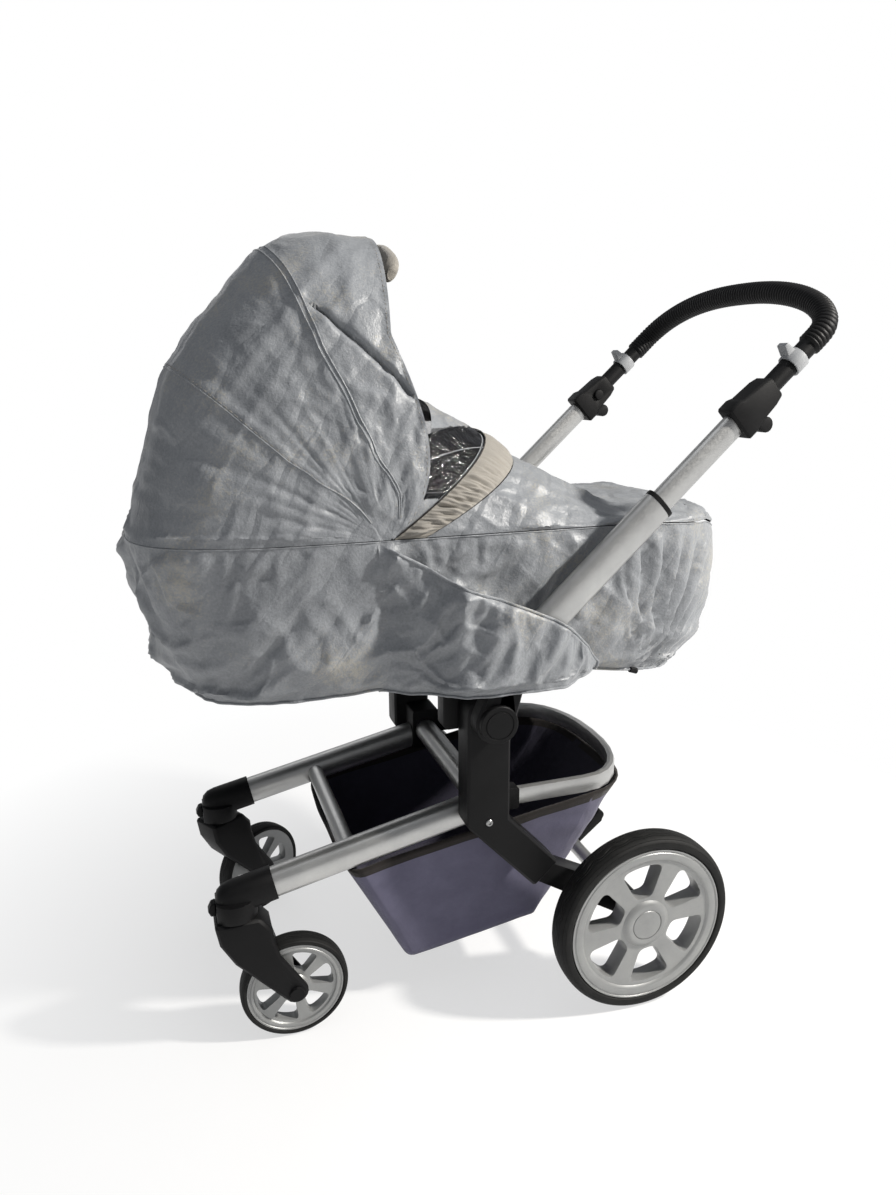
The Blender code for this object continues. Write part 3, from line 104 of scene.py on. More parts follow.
def smooth(value: float) -> float:
    """Returns value held to 0..1 and eased at both ends."""
    held = max(0.0, min(1.0, value))
    return held * held * (3.0 - 2.0 * held)


def spread(stops: Sequence[Point2], at: float) -> float:
    """Reads a smooth curve through stops of (place, value).

    Args:
        stops: Places in rising order with their values.
        at: Where to read.

    Returns:
        The value there, level before the first stop and past the last.
    """
    if at <= stops[0][0]:
        return stops[0][1]
    for (low, first), (high, last) in zip(stops, stops[1:]):
        if at <= high:
            return first + (last - first) * smooth((at - low) / (high - low))
    return stops[-1][1]


def straight(stops: Sequence[Point2], at: float) -> float:
    """Reads straight lines through stops of (place, value), as spread does smoothly."""
    if at <= stops[0][0]:
        return stops[0][1]
    for (low, first), (high, last) in zip(stops, stops[1:]):
        if at <= high:
            return first + (last - first) * (at - low) / (high - low)
    return stops[-1][1]


def spline(points: Sequence[Vector], at: float) -> Vector:
    """Reads a curve that passes through all points.

    Args:
        points: The points, evenly spaced in the curve's parameter.
        at: Place from 0 to 1.

    Returns:
        The point there, by Catmull and Rom's blend.
    """
    place = max(0.0, min(1.0, at)) * (len(points) - 1)
    low = min(int(place), len(points) - 2)
    t = place - low
    p1, p2 = points[low], points[low + 1]
    p0 = points[low - 1] if low else p1 * 2.0 - p2
    p3 = points[low + 2] if low + 2 < len(points) else p2 * 2.0 - p1
    return 0.5 * (2.0 * p1 + (p2 - p0) * t + (2.0 * p0 - 5.0 * p1 + 4.0 * p2 - p3) * t * t + (3.0 * p1 - p0 - 3.0 * p2 + p3) * t ** 3)


def rgb(code: str) -> tuple[float, float, float, float]:
    """Turns an sRGB hex colour into the linear one that shaders take.

    Args:
        code: Six hex digits.

    Returns:
        Linear red, green, blue and an alpha of 1.
    """
    parts = [int(code[i:i + 2], 16) / 255.0 for i in (0, 2, 4)]
    linear = [p / 12.92 if p <= 0.04045 else ((p + 0.055) / 1.055) ** 2.4 for p in parts]
    return (linear[0], linear[1], linear[2], 1.0)


# ---------------------------------------------------------------- modelling


def deselect() -> None:
    """Leaves nothing selected."""
    for item in bpy.context.view_layer.objects:
        item.select_set(False)


def take(item: bpy.types.Object) -> None:
    """Selects one object alone and makes it the active one."""
    deselect()
    item.select_set(True)
    bpy.context.view_layer.objects.active = item


def apply_all(item: bpy.types.Object) -> None:
    """Applies every modifier of an object in turn."""
    take(item)
    for modifier in list(item.modifiers):
        bpy.ops.object.modifier_apply(modifier=modifier.name)


def settle(item: bpy.types.Object) -> None:
    """Puts an object's place, turn and size into its mesh."""
    take(item)
    bpy.ops.object.transform_apply(location=True, rotation=True, scale=True)


def outward(item: bpy.types.Object) -> None:
    """Merges doubles and turns every face outwards."""
    take(item)
    bpy.ops.object.mode_set(mode="EDIT")
    bpy.ops.mesh.select_all(action="SELECT")
    bpy.ops.mesh.remove_doubles(threshold=0.00002)
    bpy.ops.mesh.normals_make_consistent(inside=False)
    bpy.ops.object.mode_set(mode="OBJECT")


def rounded(item: bpy.types.Object, width: float, segments: int = 2, angle: float = 32.0) -> None:
    """Rounds an object's sharp edges.

    Args:
        item: The object.
        width: Width of the bevel in metres.
        segments: Faces across it.
        angle: Edges sharper than this are rounded, in degrees.
    """
    bevel = item.modifiers.new("round", "BEVEL")
    bevel.width = width
    bevel.segments = segments
    bevel.limit_method = "ANGLE"
    bevel.angle_limit = math.radians(angle)
    bevel.harden_normals = False
    apply_all(item)


def shade(item: bpy.types.Object, angle: float = 34.0) -> None:
    """Shades an object smooth, apart from edges sharper than angle degrees."""
    take(item)
    bpy.ops.object.shade_smooth_by_angle(angle=math.radians(angle))


def thicken(item: bpy.types.Object, thickness: float, offset: float = -1.0) -> None:
    """Gives a surface a wall.

    Args:
        item: The object.
        thickness: The wall in metres.
        offset: -1 puts it inside the surface, 1 outside and 0 on both sides.
    """
    solid = item.modifiers.new("wall", "SOLIDIFY")
    solid.thickness = thickness
    solid.offset = offset
    solid.use_even_offset = False
    apply_all(item)


def joined(items: Sequence[bpy.types.Object], name: str) -> bpy.types.Object:
    """Joins objects into the first one and names it.

    Args:
        items: The objects, of which the first stays.
        name: Its new name.

    Returns:
        The joined object.
    """
    deselect()
    for item in items:
        item.select_set(True)
    bpy.context.view_layer.objects.active = items[0]
    if len(items) > 1:
        bpy.ops.object.join()
    items[0].name = name
    items[0].data.name = name
    return items[0]


def sheet(name: str, surface: Surface, long: int, wide: int) -> bpy.types.Object:
    """Lays a fine grid over a surface.

    Args:
        name: Name of the piece.
        surface: Gives the place for shares u and v, both from 0 to 1.
        long: Faces along u.
        wide: Faces along v.

    Returns:
        The grid, with its own UV map from u and v.
    """
    deselect()
    bpy.ops.mesh.primitive_grid_add(x_subdivisions=long, y_subdivisions=wide, size=1.0)
    item = bpy.context.object
    item.name = name
    item.data.name = name
    for vertex in item.data.vertices:
        vertex.co = surface(vertex.co.x + 0.5, vertex.co.y + 0.5)
    item.data.update()
    return item


def cut_size(item: bpy.types.Object, surface: Surface) -> tuple[Point2, float]:
    """Measures the flat cloth that a piece from sheet() is sewn from, before it has a wall.

    Args:
        item: The finished piece, one side only.
        surface: What it was laid over.

    Returns:
        The longest lines along u and v, in metres, and the cloth's area in square metres.
    """
    steps, lines = 240, 24
    along = across = 0.0
    for line in range(lines + 1):
        aside = line / lines
        first = [surface(i / steps, aside) for i in range(steps + 1)]
        second = [surface(aside, i / steps) for i in range(steps + 1)]
        along = max(along, sum((b - a).length for a, b in zip(first, first[1:])))
        across = max(across, sum((b - a).length for a, b in zip(second, second[1:])))
    area = sum(face.area for face in item.data.polygons)
    return (along, across), min(area, along * across)


def spun(name: str, profile: Sequence[Point2], middle: Vector, axis: Vector, steps: int) -> bpy.types.Object:
    """Turns a closed outline round an axis, as on a lathe.

    Args:
        name: Name of the piece.
        profile: Points of (radius, place along the axis), in order round the section.
        middle: A point on the axis.
        axis: Direction of the axis.
        steps: Steps of the turn.

    Returns:
        The turned ring.
    """
    along = axis.normalized()
    outer = along.orthogonal().normalized()
    deselect()
    bpy.ops.mesh.primitive_circle_add(vertices=len(profile), radius=0.01, fill_type="NOTHING")
    item = bpy.context.object
    item.name = name
    item.data.name = name
    for vertex, (radius, place) in zip(item.data.vertices, profile):
        vertex.co = middle + outer * radius + along * place
    take(item)
    bpy.ops.object.mode_set(mode="EDIT")
    bpy.ops.mesh.select_all(action="SELECT")
    bpy.ops.mesh.spin(steps=steps, angle=2.0 * math.pi, center=middle, axis=along)
    bpy.ops.object.mode_set(mode="OBJECT")
    outward(item)
    return item


def tube(name: str, path: Sequence[Vector], radius: float, sides: int = 3, radii: Optional[Sequence[float]] = None) -> bpy.types.Object:
    """Makes a round bar or thread along a path.

    Args:
        name: Name of the piece.
        path: The middle line.
        radius: Radius of the bar.
        sides: Bevel resolution of the curve.
        radii: A share of the radius for each point, or None.

    Returns:
        The bar as a closed mesh.
    """
    curve = bpy.data.curves.new(name, "CURVE")
    curve.dimensions = "3D"
    curve.bevel_depth = radius
    curve.bevel_resolution = sides
    curve.use_fill_caps = True
    line = curve.splines.new("POLY")
    line.points.add(len(path) - 1)
    for i, place in enumerate(path):
        line.points[i].co = (*place, 1.0)
        line.points[i].radius = radii[i] if radii else 1.0
    item = bpy.data.objects.new(name, curve)
    bpy.context.scene.collection.objects.link(item)
    take(item)
    bpy.ops.object.convert(target="MESH")
    item = bpy.context.object
    outward(item)
    shade(item)
    return item


def box_at(name: str, low: Vector, high: Vector) -> bpy.types.Object:
    """Adds a block between two corners, ready to be shaped."""
    deselect()
    middle = (low + high) / 2.0
    bpy.ops.mesh.primitive_cube_add(size=1.0, location=middle)
    item = bpy.context.object
    item.scale = high - low
    item.name = name
    item.data.name = name
    settle(item)
    return item


# ---------------------------------------------------------------- finishes


class Coord(Enum):
    """Where a pattern takes its place from."""

    OBJECT = "Object"
    UV = "UV"


class Shader:
    """One material's node tree, with a single way to add a node."""

    def __init__(self, name: str) -> None:
        """Starts an empty material with its output and main shader."""
        self.material = bpy.data.materials.new(name)
        self.material.use_nodes = True
        self.tree = self.material.node_tree
        self.tree.nodes.clear()
        self.out = self.add("ShaderNodeOutputMaterial")
        self.main = self.add("ShaderNodeBsdfPrincipled")
        self.tree.links.new(self.main.outputs[0], self.out.inputs[0])

    def add(self, kind: str, settings: Optional[dict[str, Any]] = None, links: Optional[dict[Any, Any]] = None) -> bpy.types.Node:
        """Adds a node.

        Args:
            kind: Its type name.
            settings: Attributes, or values of inputs that have that name.
            links: Input names or numbers with the output socket that feeds each.

        Returns:
            The node.
        """
        node = self.tree.nodes.new(kind)
        for key, value in (settings or {}).items():
            if isinstance(key, str) and hasattr(node, key) and key not in node.inputs:
                setattr(node, key, value)
            else:
                node.inputs[key].default_value = value
        for key, source in (links or {}).items():
            self.tree.links.new(source, node.inputs[key])
        return node

    def place(self, coord: Coord, scale: Sequence[float]) -> bpy.types.NodeSocket:
        """Gives pattern coordinates on the piece, scaled along each axis."""
        where = self.add("ShaderNodeTexCoord")
        mapping = self.add("ShaderNodeMapping", {"Scale": tuple(scale)}, {"Vector": where.outputs[coord.value]})
        return mapping.outputs[0]

    def ramp(self, source: bpy.types.NodeSocket, stops: Sequence[tuple[float, Any]]) -> bpy.types.NodeSocket:
        """Turns a value into colours given as hex codes or greys.

        Args:
            source: The value.
            stops: Places from 0 to 1, each with a hex code or a grey from 0 to 1.

        Returns:
            The colour socket.
        """
        node = self.add("ShaderNodeValToRGB", links={0: source})
        ramp = node.color_ramp
        while len(ramp.elements) < len(stops):
            ramp.elements.new(0.5)
        for element, (position, colour) in zip(ramp.elements, stops):
            element.position = position
            element.color = rgb(colour) if isinstance(colour, str) else (colour, colour, colour, 1.0)
        return node.outputs[0]

    def bump(self, height: bpy.types.NodeSocket, strength: float, distance: float, below: Optional[bpy.types.NodeSocket] = None) -> bpy.types.NodeSocket:
        """Turns a height pattern into shading relief, over another if below is given."""
        links = {"Height": height}
        if below is not None:
            links["Normal"] = below
        return self.add("ShaderNodeBump", {"Strength": strength, "Distance": distance}, links).outputs[0]

    def set(self, **values: Any) -> None:
        """Sets constants on the main shader, with _ for a space in their names."""
        for key, value in values.items():
            self.main.inputs[key.replace("_", " ")].default_value = value

    def feed(self, name: str, source: bpy.types.NodeSocket) -> None:
        """Links a socket to an input of the main shader."""
        self.tree.links.new(source, self.main.inputs[name])


@dataclass(frozen=True)
class Moulded:
    """Moulded plastic or rubber: one colour, fine spark-eroded grain and slight sheen changes."""

    name: str
    colour: str
    worn: str
    roughness: float
    grain_mm: float = 0.9
    relief: float = 0.25
    gloss: float = 0.16

    def build(self) -> bpy.types.Material:
        """Makes the material. Its grain is drawn coarser than the real 0.1 mm, so that it shows."""
        s = Shader(self.name)
        at = s.place(Coord.OBJECT, (1.0, 1.0, 1.0))
        cloud = s.add("ShaderNodeTexNoise", {"Scale": 1.0 / 0.045, "Detail": 5.0, "Roughness": 0.6}, {"Vector": at})
        grain = s.add("ShaderNodeTexNoise", {"Scale": 1.0 / (self.grain_mm * MM), "Detail": 2.0}, {"Vector": at})
        s.feed("Base Color", s.ramp(cloud.outputs[0], ((0.30, self.colour), (0.80, self.worn))))
        rough = s.ramp(cloud.outputs[0], ((0.25, self.roughness - 0.06), (0.75, self.roughness + 0.08)))
        s.feed("Roughness", rough)
        s.feed("Normal", s.bump(grain.outputs[0], self.relief, 0.0004))
        s.set(Specular_IOR_Level=self.gloss)
        return s.material


@dataclass(frozen=True)
class Metal:
    """Anodised or polished metal: drawn lengthwise, so its fine lines run one way."""

    name: str
    colour: str
    shaded: str
    roughness: float
    metallic: float = 1.0
    stretch: tuple[float, float, float] = (1.0, 1.0, 1.0)

    def build(self) -> bpy.types.Material:
        """Makes the material with faint draw lines and handling marks."""
        s = Shader(self.name)
        at = s.place(Coord.OBJECT, self.stretch)
        lines = s.add("ShaderNodeTexNoise", {"Scale": 1.0 / 0.004, "Detail": 3.0, "Roughness": 0.7}, {"Vector": at})
        marks = s.add("ShaderNodeTexNoise", {"Scale": 1.0 / 0.060, "Detail": 6.0, "Roughness": 0.65}, {"Vector": at})
        s.feed("Base Color", s.ramp(marks.outputs[0], ((0.30, self.shaded), (0.70, self.colour))))
        s.feed("Roughness", s.ramp(lines.outputs[0], ((0.30, self.roughness - 0.05), (0.75, self.roughness + 0.09))))
        s.feed("Normal", s.bump(lines.outputs[0], 0.05, 0.0003))
        s.set(Metallic=self.metallic)
        return s.material


@dataclass(frozen=True)
class Woven:
    """Woven cloth: threads at a real pitch, a slight colour change from yarn to yarn, and sheen."""

    name: str
    colour: str
    light: str
    thread_mm: float
    roughness: float = 0.9
    sheen: float = 0.25
    relief: float = 0.5

    def build(self) -> bpy.types.Material:
        """Makes the material. Both sets of threads are waves that cross at right angles."""
        s = Shader(self.name)
        at = s.place(Coord.OBJECT, (1.0, 1.0, 1.0))
        scale = 1.0 / (self.thread_mm * MM) / 3.0
        warp = s.add("ShaderNodeTexWave", {"Scale": scale, "Distortion": 1.5, "Detail": 1.0, "bands_direction": "DIAGONAL"}, {"Vector": at})
        weft = s.add("ShaderNodeTexWave", {"Scale": scale, "Distortion": 1.5, "Detail": 1.0, "bands_direction": "Z"}, {"Vector": at})
        both = s.add("ShaderNodeMath", {"operation": "MULTIPLY"}, {0: warp.outputs[1], 1: weft.outputs[1]})
        cloud = s.add("ShaderNodeTexNoise", {"Scale": 1.0 / 0.05, "Detail": 6.0, "Roughness": 0.7}, {"Vector": at})
        tone = s.add("ShaderNodeMath", {"operation": "MULTIPLY_ADD", 1: 0.35}, {0: both.outputs[0], 2: cloud.outputs[0]})
        s.feed("Base Color", s.ramp(tone.outputs[0], ((0.30, self.colour), (0.95, self.light))))
        s.set(Specular_IOR_Level=0.15)
        soft = s.bump(cloud.outputs[0], 0.35, 0.004)
        s.feed("Normal", s.bump(both.outputs[0], self.relief, 0.0006, soft))
        s.set(Roughness=self.roughness, Sheen_Weight=self.sheen, Sheen_Roughness=0.5)
        return s.material


@dataclass(frozen=True)
class CoatedNylon:
    """Silver-coated nylon: thin, satin and full of sharp little creases from being packed away."""

    name: str
    colour: str
    light: str
    warm: str
    roughness: float = 0.43

    def build(self) -> bpy.types.Material:
        """Makes the material with creases of three sizes and its weave, drawn at 2 mm to show."""
        s = Shader(self.name)
        at = s.place(Coord.OBJECT, (1.0, 1.0, 1.0))
        bend = s.add("ShaderNodeTexNoise", {"Scale": 1.0 / 0.11, "Detail": 3.0}, {"Vector": at})
        shift = s.add("ShaderNodeVectorMath", {"operation": "MULTIPLY_ADD", 1: (0.05, 0.05, 0.05)}, {0: bend.outputs[1], 2: at})
        rising = s.add("ShaderNodeMapping", {"vector_type": "TEXTURE", "Rotation": (0.0, -0.90, 0.0), "Scale": (4.2, 1.6, 0.9)}, {"Vector": shift.outputs[0]})
        falling = s.add("ShaderNodeMapping", {"vector_type": "TEXTURE", "Rotation": (0.0, 0.62, 0.0), "Scale": (3.6, 1.6, 0.9)}, {"Vector": shift.outputs[0]})
        ridge = s.add("ShaderNodeTexNoise", {"noise_type": "RIDGED_MULTIFRACTAL", "Scale": 1.0 / 0.036, "Detail": 3.0, "Roughness": 0.55}, {"Vector": rising.outputs[0]})
        cross = s.add("ShaderNodeTexNoise", {"noise_type": "RIDGED_MULTIFRACTAL", "Scale": 1.0 / 0.027, "Detail": 3.0, "Roughness": 0.5}, {"Vector": falling.outputs[0]})
        split = s.add("ShaderNodeTexVoronoi", {"feature": "DISTANCE_TO_EDGE", "Scale": 1.0 / 0.046}, {"Vector": rising.outputs[0]})
        crack = s.add("ShaderNodeMath", {"operation": "MINIMUM", 1: 0.20}, {0: split.outputs["Distance"]})
        fine = s.add("ShaderNodeTexNoise", {"Scale": 1.0 / 0.012, "Detail": 4.0, "Roughness": 0.6}, {"Vector": shift.outputs[0]})
        weave = s.add("ShaderNodeTexNoise", {"Scale": 1.0 / 0.0036, "Detail": 2.0, "Roughness": 0.7}, {"Vector": at})
        cloud = s.add("ShaderNodeTexNoise", {"Scale": 1.0 / 0.16, "Detail": 5.0, "Roughness": 0.6}, {"Vector": at})
        tone = s.add("ShaderNodeMath", {"operation": "MULTIPLY_ADD", 1: 0.60}, {0: weave.outputs[0], 2: cloud.outputs[0]})
        s.feed("Base Color", s.ramp(tone.outputs[0], ((0.50, self.colour), (0.86, self.light), (1.10, self.warm))))
        first = s.bump(ridge.outputs[0], 1.0, 0.0046)
        second = s.bump(cross.outputs[0], 1.0, 0.0030, first)
        third = s.bump(crack.outputs[0], 1.0, 0.0060, second)
        fourth = s.bump(fine.outputs[0], 0.7, 0.0012, third)
        s.feed("Normal", s.bump(weave.outputs[0], 0.7, 0.0009, fourth))
        s.feed("Roughness", s.ramp(fine.outputs[0], ((0.3, self.roughness - 0.05), (0.8, self.roughness + 0.10))))
        s.set(Metallic=0.0, Sheen_Weight=0.12, Sheen_Roughness=0.4, Specular_IOR_Level=0.45)
        return s.material


@dataclass(frozen=True)
class ClearFilm:
    """Clear PVC film: soft, glossy and crumpled, so it glints over the dark inside. It is made partly opaque and
    near-black as painted shade of that shaded inside.
    """

    name: str

    def build(self) -> bpy.types.Material:
        """Makes the see-through material with its crumples and its painted shade."""
        s = Shader(self.name)
        at = s.place(Coord.OBJECT, (1.0, 1.0, 1.0))
        crumple = s.add("ShaderNodeTexNoise", {"Scale": 1.0 / 0.030, "Detail": 4.0, "Roughness": 0.6}, {"Vector": at})
        s.feed("Normal", s.bump(crumple.outputs[0], 1.0, 0.014))
        # Partly opaque and near-black: painted shade of the shaded inside, which clear film would simply show through.
        s.feed("Alpha", s.ramp(crumple.outputs[0], ((0.35, 0.30), (0.75, 0.60))))
        s.feed("Base Color", s.ramp(crumple.outputs[0], ((0.3, "101012"), (0.7, "202024"))))
        s.set(Roughness=0.07, IOR=1.5, Specular_IOR_Level=1.0)
        return s.material


@dataclass(frozen=True)
class TreadRubber:
    """Tyre rubber with wavy sipes round the tread and fine raised rings on its sides."""

    name: str
    colour: str
    worn: str
    waves: float
    sipes: Sequence[Point2] = ((0.196, 0.0075), (0.228, 0.0100), (0.272, 0.0100), (0.304, 0.0075))
    rings: Sequence[float] = (0.045, 0.120, 0.380, 0.455)

    def line(self, s: Shader, place: bpy.types.NodeSocket, middle: float, width: float) -> bpy.types.NodeSocket:
        """Gives 1 on a line at a place of the section, down to 0 beside it."""
        off = s.add("ShaderNodeMath", {"operation": "SUBTRACT", 1: middle}, {0: place})
        side = s.add("ShaderNodeMath", {"operation": "ABSOLUTE"}, {0: off.outputs[0]})
        edge = s.add("ShaderNodeMapRange", {"From Min": width, "From Max": width * 0.35, "To Min": 0.0, "To Max": 1.0}, {"Value": side.outputs[0]})
        return edge.outputs[0]

    def build(self) -> bpy.types.Material:
        """Makes the material on the tyre's own UV map: u round the wheel, v over its section."""
        s = Shader(self.name)
        at = s.place(Coord.UV, (1.0, 1.0, 1.0))
        here = s.place(Coord.OBJECT, (1.0, 1.0, 1.0))
        parts = s.add("ShaderNodeSeparateXYZ", links={0: at})
        turn = s.add("ShaderNodeMath", {"operation": "MULTIPLY", 1: 2.0 * math.pi * self.waves}, {0: parts.outputs[0]})
        wave = s.add("ShaderNodeMath", {"operation": "SINE"}, {0: turn.outputs[0]})
        cut = None
        for middle, swing in self.sipes:
            moved = s.add("ShaderNodeMath", {"operation": "MULTIPLY_ADD", 1: swing}, {0: wave.outputs[0], 2: parts.outputs[1]})
            groove = self.line(s, moved.outputs[0], middle, 0.0090)
            cut = groove if cut is None else s.add("ShaderNodeMath", {"operation": "MAXIMUM"}, {0: cut, 1: groove}).outputs[0]
        rib = None
        for middle in self.rings:
            line = self.line(s, parts.outputs[1], middle, 0.0060)
            rib = line if rib is None else s.add("ShaderNodeMath", {"operation": "MAXIMUM"}, {0: rib, 1: line}).outputs[0]
        height = s.add("ShaderNodeMath", {"operation": "SUBTRACT"}, {0: rib, 1: cut})
        dust = s.add("ShaderNodeTexNoise", {"Scale": 1.0 / 0.020, "Detail": 6.0, "Roughness": 0.7}, {"Vector": here})
        grain = s.add("ShaderNodeTexNoise", {"Scale": 1.0 / 0.0014, "Detail": 2.0}, {"Vector": here})
        s.feed("Base Color", s.ramp(dust.outputs[0], ((0.35, self.colour), (0.80, self.worn))))
        first = s.bump(height.outputs[0], 1.0, 0.0040)
        s.feed("Normal", s.bump(grain.outputs[0], 0.4, 0.0003, first))
        s.set(Roughness=0.68, Specular_IOR_Level=0.25)
        return s.material


class Finishes:
    """Every finish of the pram, each made once."""

    def __init__(self) -> None:
        """Makes all materials."""
        self.black = Moulded("glass_filled_nylon", "0b0b0c", "131314", 0.50).build()
        self.rubber = TreadRubber("tyre_rubber", "121212", "20201f", 26.0).build()
        self.small_rubber = TreadRubber("front_tyre_rubber", "121212", "20201f", 16.0).build()
        self.grip = Moulded("grip_rubber", "0e0e0f", "171718", 0.50).build()
        self.slider = Moulded("grey_slider_plastic", "8b8d90", "9fa1a3", 0.42).build()
        self.rim = Metal("rim_paint", "999a99", "8b8c8c", 0.42, 0.45).build()
        self.tube = Metal("anodised_aluminium", "c3c3c1", "b3b3b2", 0.36, 0.9).build()
        self.steel = Metal("zinc_plated_steel", "a4a4a4", "8c8c8c", 0.30).build()
        self.bow = Metal("spring_steel", "77787a", "606163", 0.42).build()
        self.cover = CoatedNylon("silver_coated_nylon", "6e7175", "84878b", "94928c").build()
        self.band = Woven("beige_band_cloth", "86827c", "98938a", 1.2, 0.85, 0.3).build()
        # The basket's own canvas in a darker tone: painted shade for its shaded inside and floor.
        self.inside = Woven("basket_inside_painted_shade", "33323e", "403e4c", 1.0, 0.92, 0.1).build()
        self.basket = Woven("basket_canvas", "565569", "6a687e", 1.0, 0.92, 0.2).build()
        self.tape = Woven("brown_black_tape", "1d1a19", "2e2927", 1.4, 0.85, 0.2).build()
        self.cot = Woven("dark_melange_cloth", "26272a", "3a3b40", 1.4, 0.95, 0.2).build()
        self.mattress = Woven("mattress_cotton", "c9c7c1", "d9d7d1", 1.6, 0.95, 0.2).build()
        self.film = ClearFilm("clear_pvc_film").build()


# ---------------------------------------------------------------- stage


@dataclass
class Studio:
    """Plain pale floor, soft lights and the camera at the photograph's angle."""

    camera_place: tuple[float, float, float] = (-0.4740, -1.3204, 0.9994)
    yaw: float = 0.3257
    pitch: float = 0.2572
    roll: float = -0.0045
    lens: float = 26.2056

    def build(self) -> None:
        """Builds the whole stage."""
        self.build_camera()
        self.build_floor()
        self.build_lights()
        view = bpy.context.scene.view_settings
        view.view_transform = "Standard"

    def build_camera(self) -> None:
        """Places the camera."""
        data = bpy.data.cameras.new("camera")
        data.lens = self.lens
        data.sensor_width = 36.0
        data.sensor_fit = "VERTICAL"
        data.sensor_height = 36.0
        data.clip_start = 0.01
        camera = bpy.data.objects.new("camera", data)
        bpy.context.scene.collection.objects.link(camera)
        forward = Vector((math.sin(self.yaw) * math.cos(self.pitch), math.cos(self.yaw) * math.cos(self.pitch), -math.sin(self.pitch)))
        right = Vector((math.cos(self.yaw), -math.sin(self.yaw), 0.0))
        up = right.cross(forward)
        across = right * math.cos(self.roll) + up * math.sin(self.roll)
        above = up * math.cos(self.roll) - right * math.sin(self.roll)
        turn = Matrix((across, above, -forward)).transposed().to_4x4()
        camera.matrix_world = Matrix.Translation(Vector(self.camera_place)) @ turn
        bpy.context.scene.camera = camera

    def build_floor(self) -> None:
        """Lays a wide pale floor that shows white to the camera and keeps its shadow."""
        deselect()
        bpy.ops.mesh.primitive_plane_add(size=40.0, location=(0.0, 0.0, -0.0002))
        floor = bpy.context.object
        floor.name = "floor"
        settle(floor)
        shader = Shader("floor_paper")
        at = shader.place(Coord.OBJECT, (1.0, 1.0, 1.0))
        mottle = shader.add("ShaderNodeTexNoise", {"Scale": 3.0, "Detail": 3.0}, {"Vector": at})
        shader.feed("Base Color", shader.ramp(mottle.outputs[0], ((0.3, "f4f4f4"), (0.7, "f8f8f8"))))
        shader.set(Roughness=0.95)
        reach = shader.add("ShaderNodeVectorMath", {"operation": "LENGTH"}, {0: at})
        far = shader.add("ShaderNodeMapRange", {"From Min": 0.45, "From Max": 1.25, "To Min": 0.62, "To Max": 1.0}, {"Value": reach.outputs["Value"]})
        path = shader.add("ShaderNodeLightPath")
        seen = shader.add("ShaderNodeMath", {"operation": "MAXIMUM"}, {0: path.outputs["Is Camera Ray"], 1: path.outputs["Is Glossy Ray"]})
        through = shader.add("ShaderNodeMath", {"operation": "MAXIMUM"}, {0: seen.outputs[0], 1: path.outputs["Is Transmission Ray"]})
        share = shader.add("ShaderNodeMath", {"operation": "MULTIPLY"}, {0: through.outputs[0], 1: far.outputs[0]})
        white = shader.add("ShaderNodeEmission", {"Strength": 1.0})
        shader.add("ShaderNodeMixShader", links={0: share.outputs[0], 1: shader.main.outputs[0], 2: white.outputs[0]})
        mix = shader.tree.nodes[-1]
        shader.tree.links.new(mix.outputs[0], shader.out.inputs[0])
        floor.data.materials.append(shader.material)

    def build_lights(self) -> None:
        """Lights the pram softly from above and from the right, with a white world behind."""
        scene = bpy.context.scene
        world_data = bpy.data.worlds.new("studio_world")
        scene.world = world_data
        world_data.use_nodes = True
        tree = world_data.node_tree
        tree.nodes.clear()
        out = tree.nodes.new("ShaderNodeOutputWorld")
        mix = tree.nodes.new("ShaderNodeMixShader")
        dim = tree.nodes.new("ShaderNodeBackground")
        white = tree.nodes.new("ShaderNodeBackground")
        path = tree.nodes.new("ShaderNodeLightPath")
        dim.inputs[0].default_value = (0.94, 0.96, 1.0, 1.0)
        dim.inputs[1].default_value = 0.26
        white.inputs[0].default_value = (1.0, 1.0, 1.0, 1.0)
        white.inputs[1].default_value = 1.0
        seen = tree.nodes.new("ShaderNodeMath")
        seen.operation = "MAXIMUM"
        tree.links.new(path.outputs["Is Camera Ray"], seen.inputs[0])
        tree.links.new(path.outputs["Is Transmission Ray"], seen.inputs[1])
        tree.links.new(seen.outputs[0], mix.inputs[0])
        tree.links.new(dim.outputs[0], mix.inputs[1])
        tree.links.new(white.outputs[0], mix.inputs[2])
        tree.links.new(mix.outputs[0], out.inputs[0])
        self.lamp("sun_side", (2.2, -1.35, 2.35), 0.22, 160.0, (1.0, 0.965, 0.91))
        self.lamp("sky_top", (0.1, -0.5, 3.1), 1.8, 10.0, (0.95, 0.97, 1.0))
        self.lamp("fill_left", (-2.6, -1.6, 1.6), 1.8, 3.0, (0.92, 0.96, 1.0))
        self.lamp("rim_back", (-0.3, 2.6, 1.9), 1.4, 6.0, (1.0, 1.0, 1.0))

    def lamp(self, name: str, place: Sequence[float], size: float, power: float, colour: Sequence[float]) -> None:
        """Adds a square lamp that looks at the pram's middle."""
        data = bpy.data.lights.new(name, "AREA")
        data.size = size
        data.energy = power
        data.color = tuple(colour)
        item = bpy.data.objects.new(name, data)
        bpy.context.scene.collection.objects.link(item)
        item.location = place
        item.rotation_euler = (Vector((0.0, 0.0, 0.55)) - item.location).to_track_quat("-Z", "Y").to_euler()


# ---------------------------------------------------------------- rain cover


def crease(place: Vector, size: float, stretch: Vector, seed: float) -> float:
    """Reads a field of sharp ridges, for creases in thin cloth.

    Args:
        place: Where to read.
        size: Spacing of the creases in metres.
        stretch: How much closer they lie along each axis.
        seed: Moves the field, so that two uses differ.

    Returns:
        A height from 0, on the flat, to 1, on a ridge.
    """
    at = Vector((place.x * stretch.x, place.y * stretch.y, place.z * stretch.z)) / size + Vector((seed, seed * 1.7, -seed))
    warp = noise.noise_vector(at * 0.5) * 0.9
    return max(0.0, 1.0 - abs(noise.noise(at + warp)) * 3.2) ** 1.6


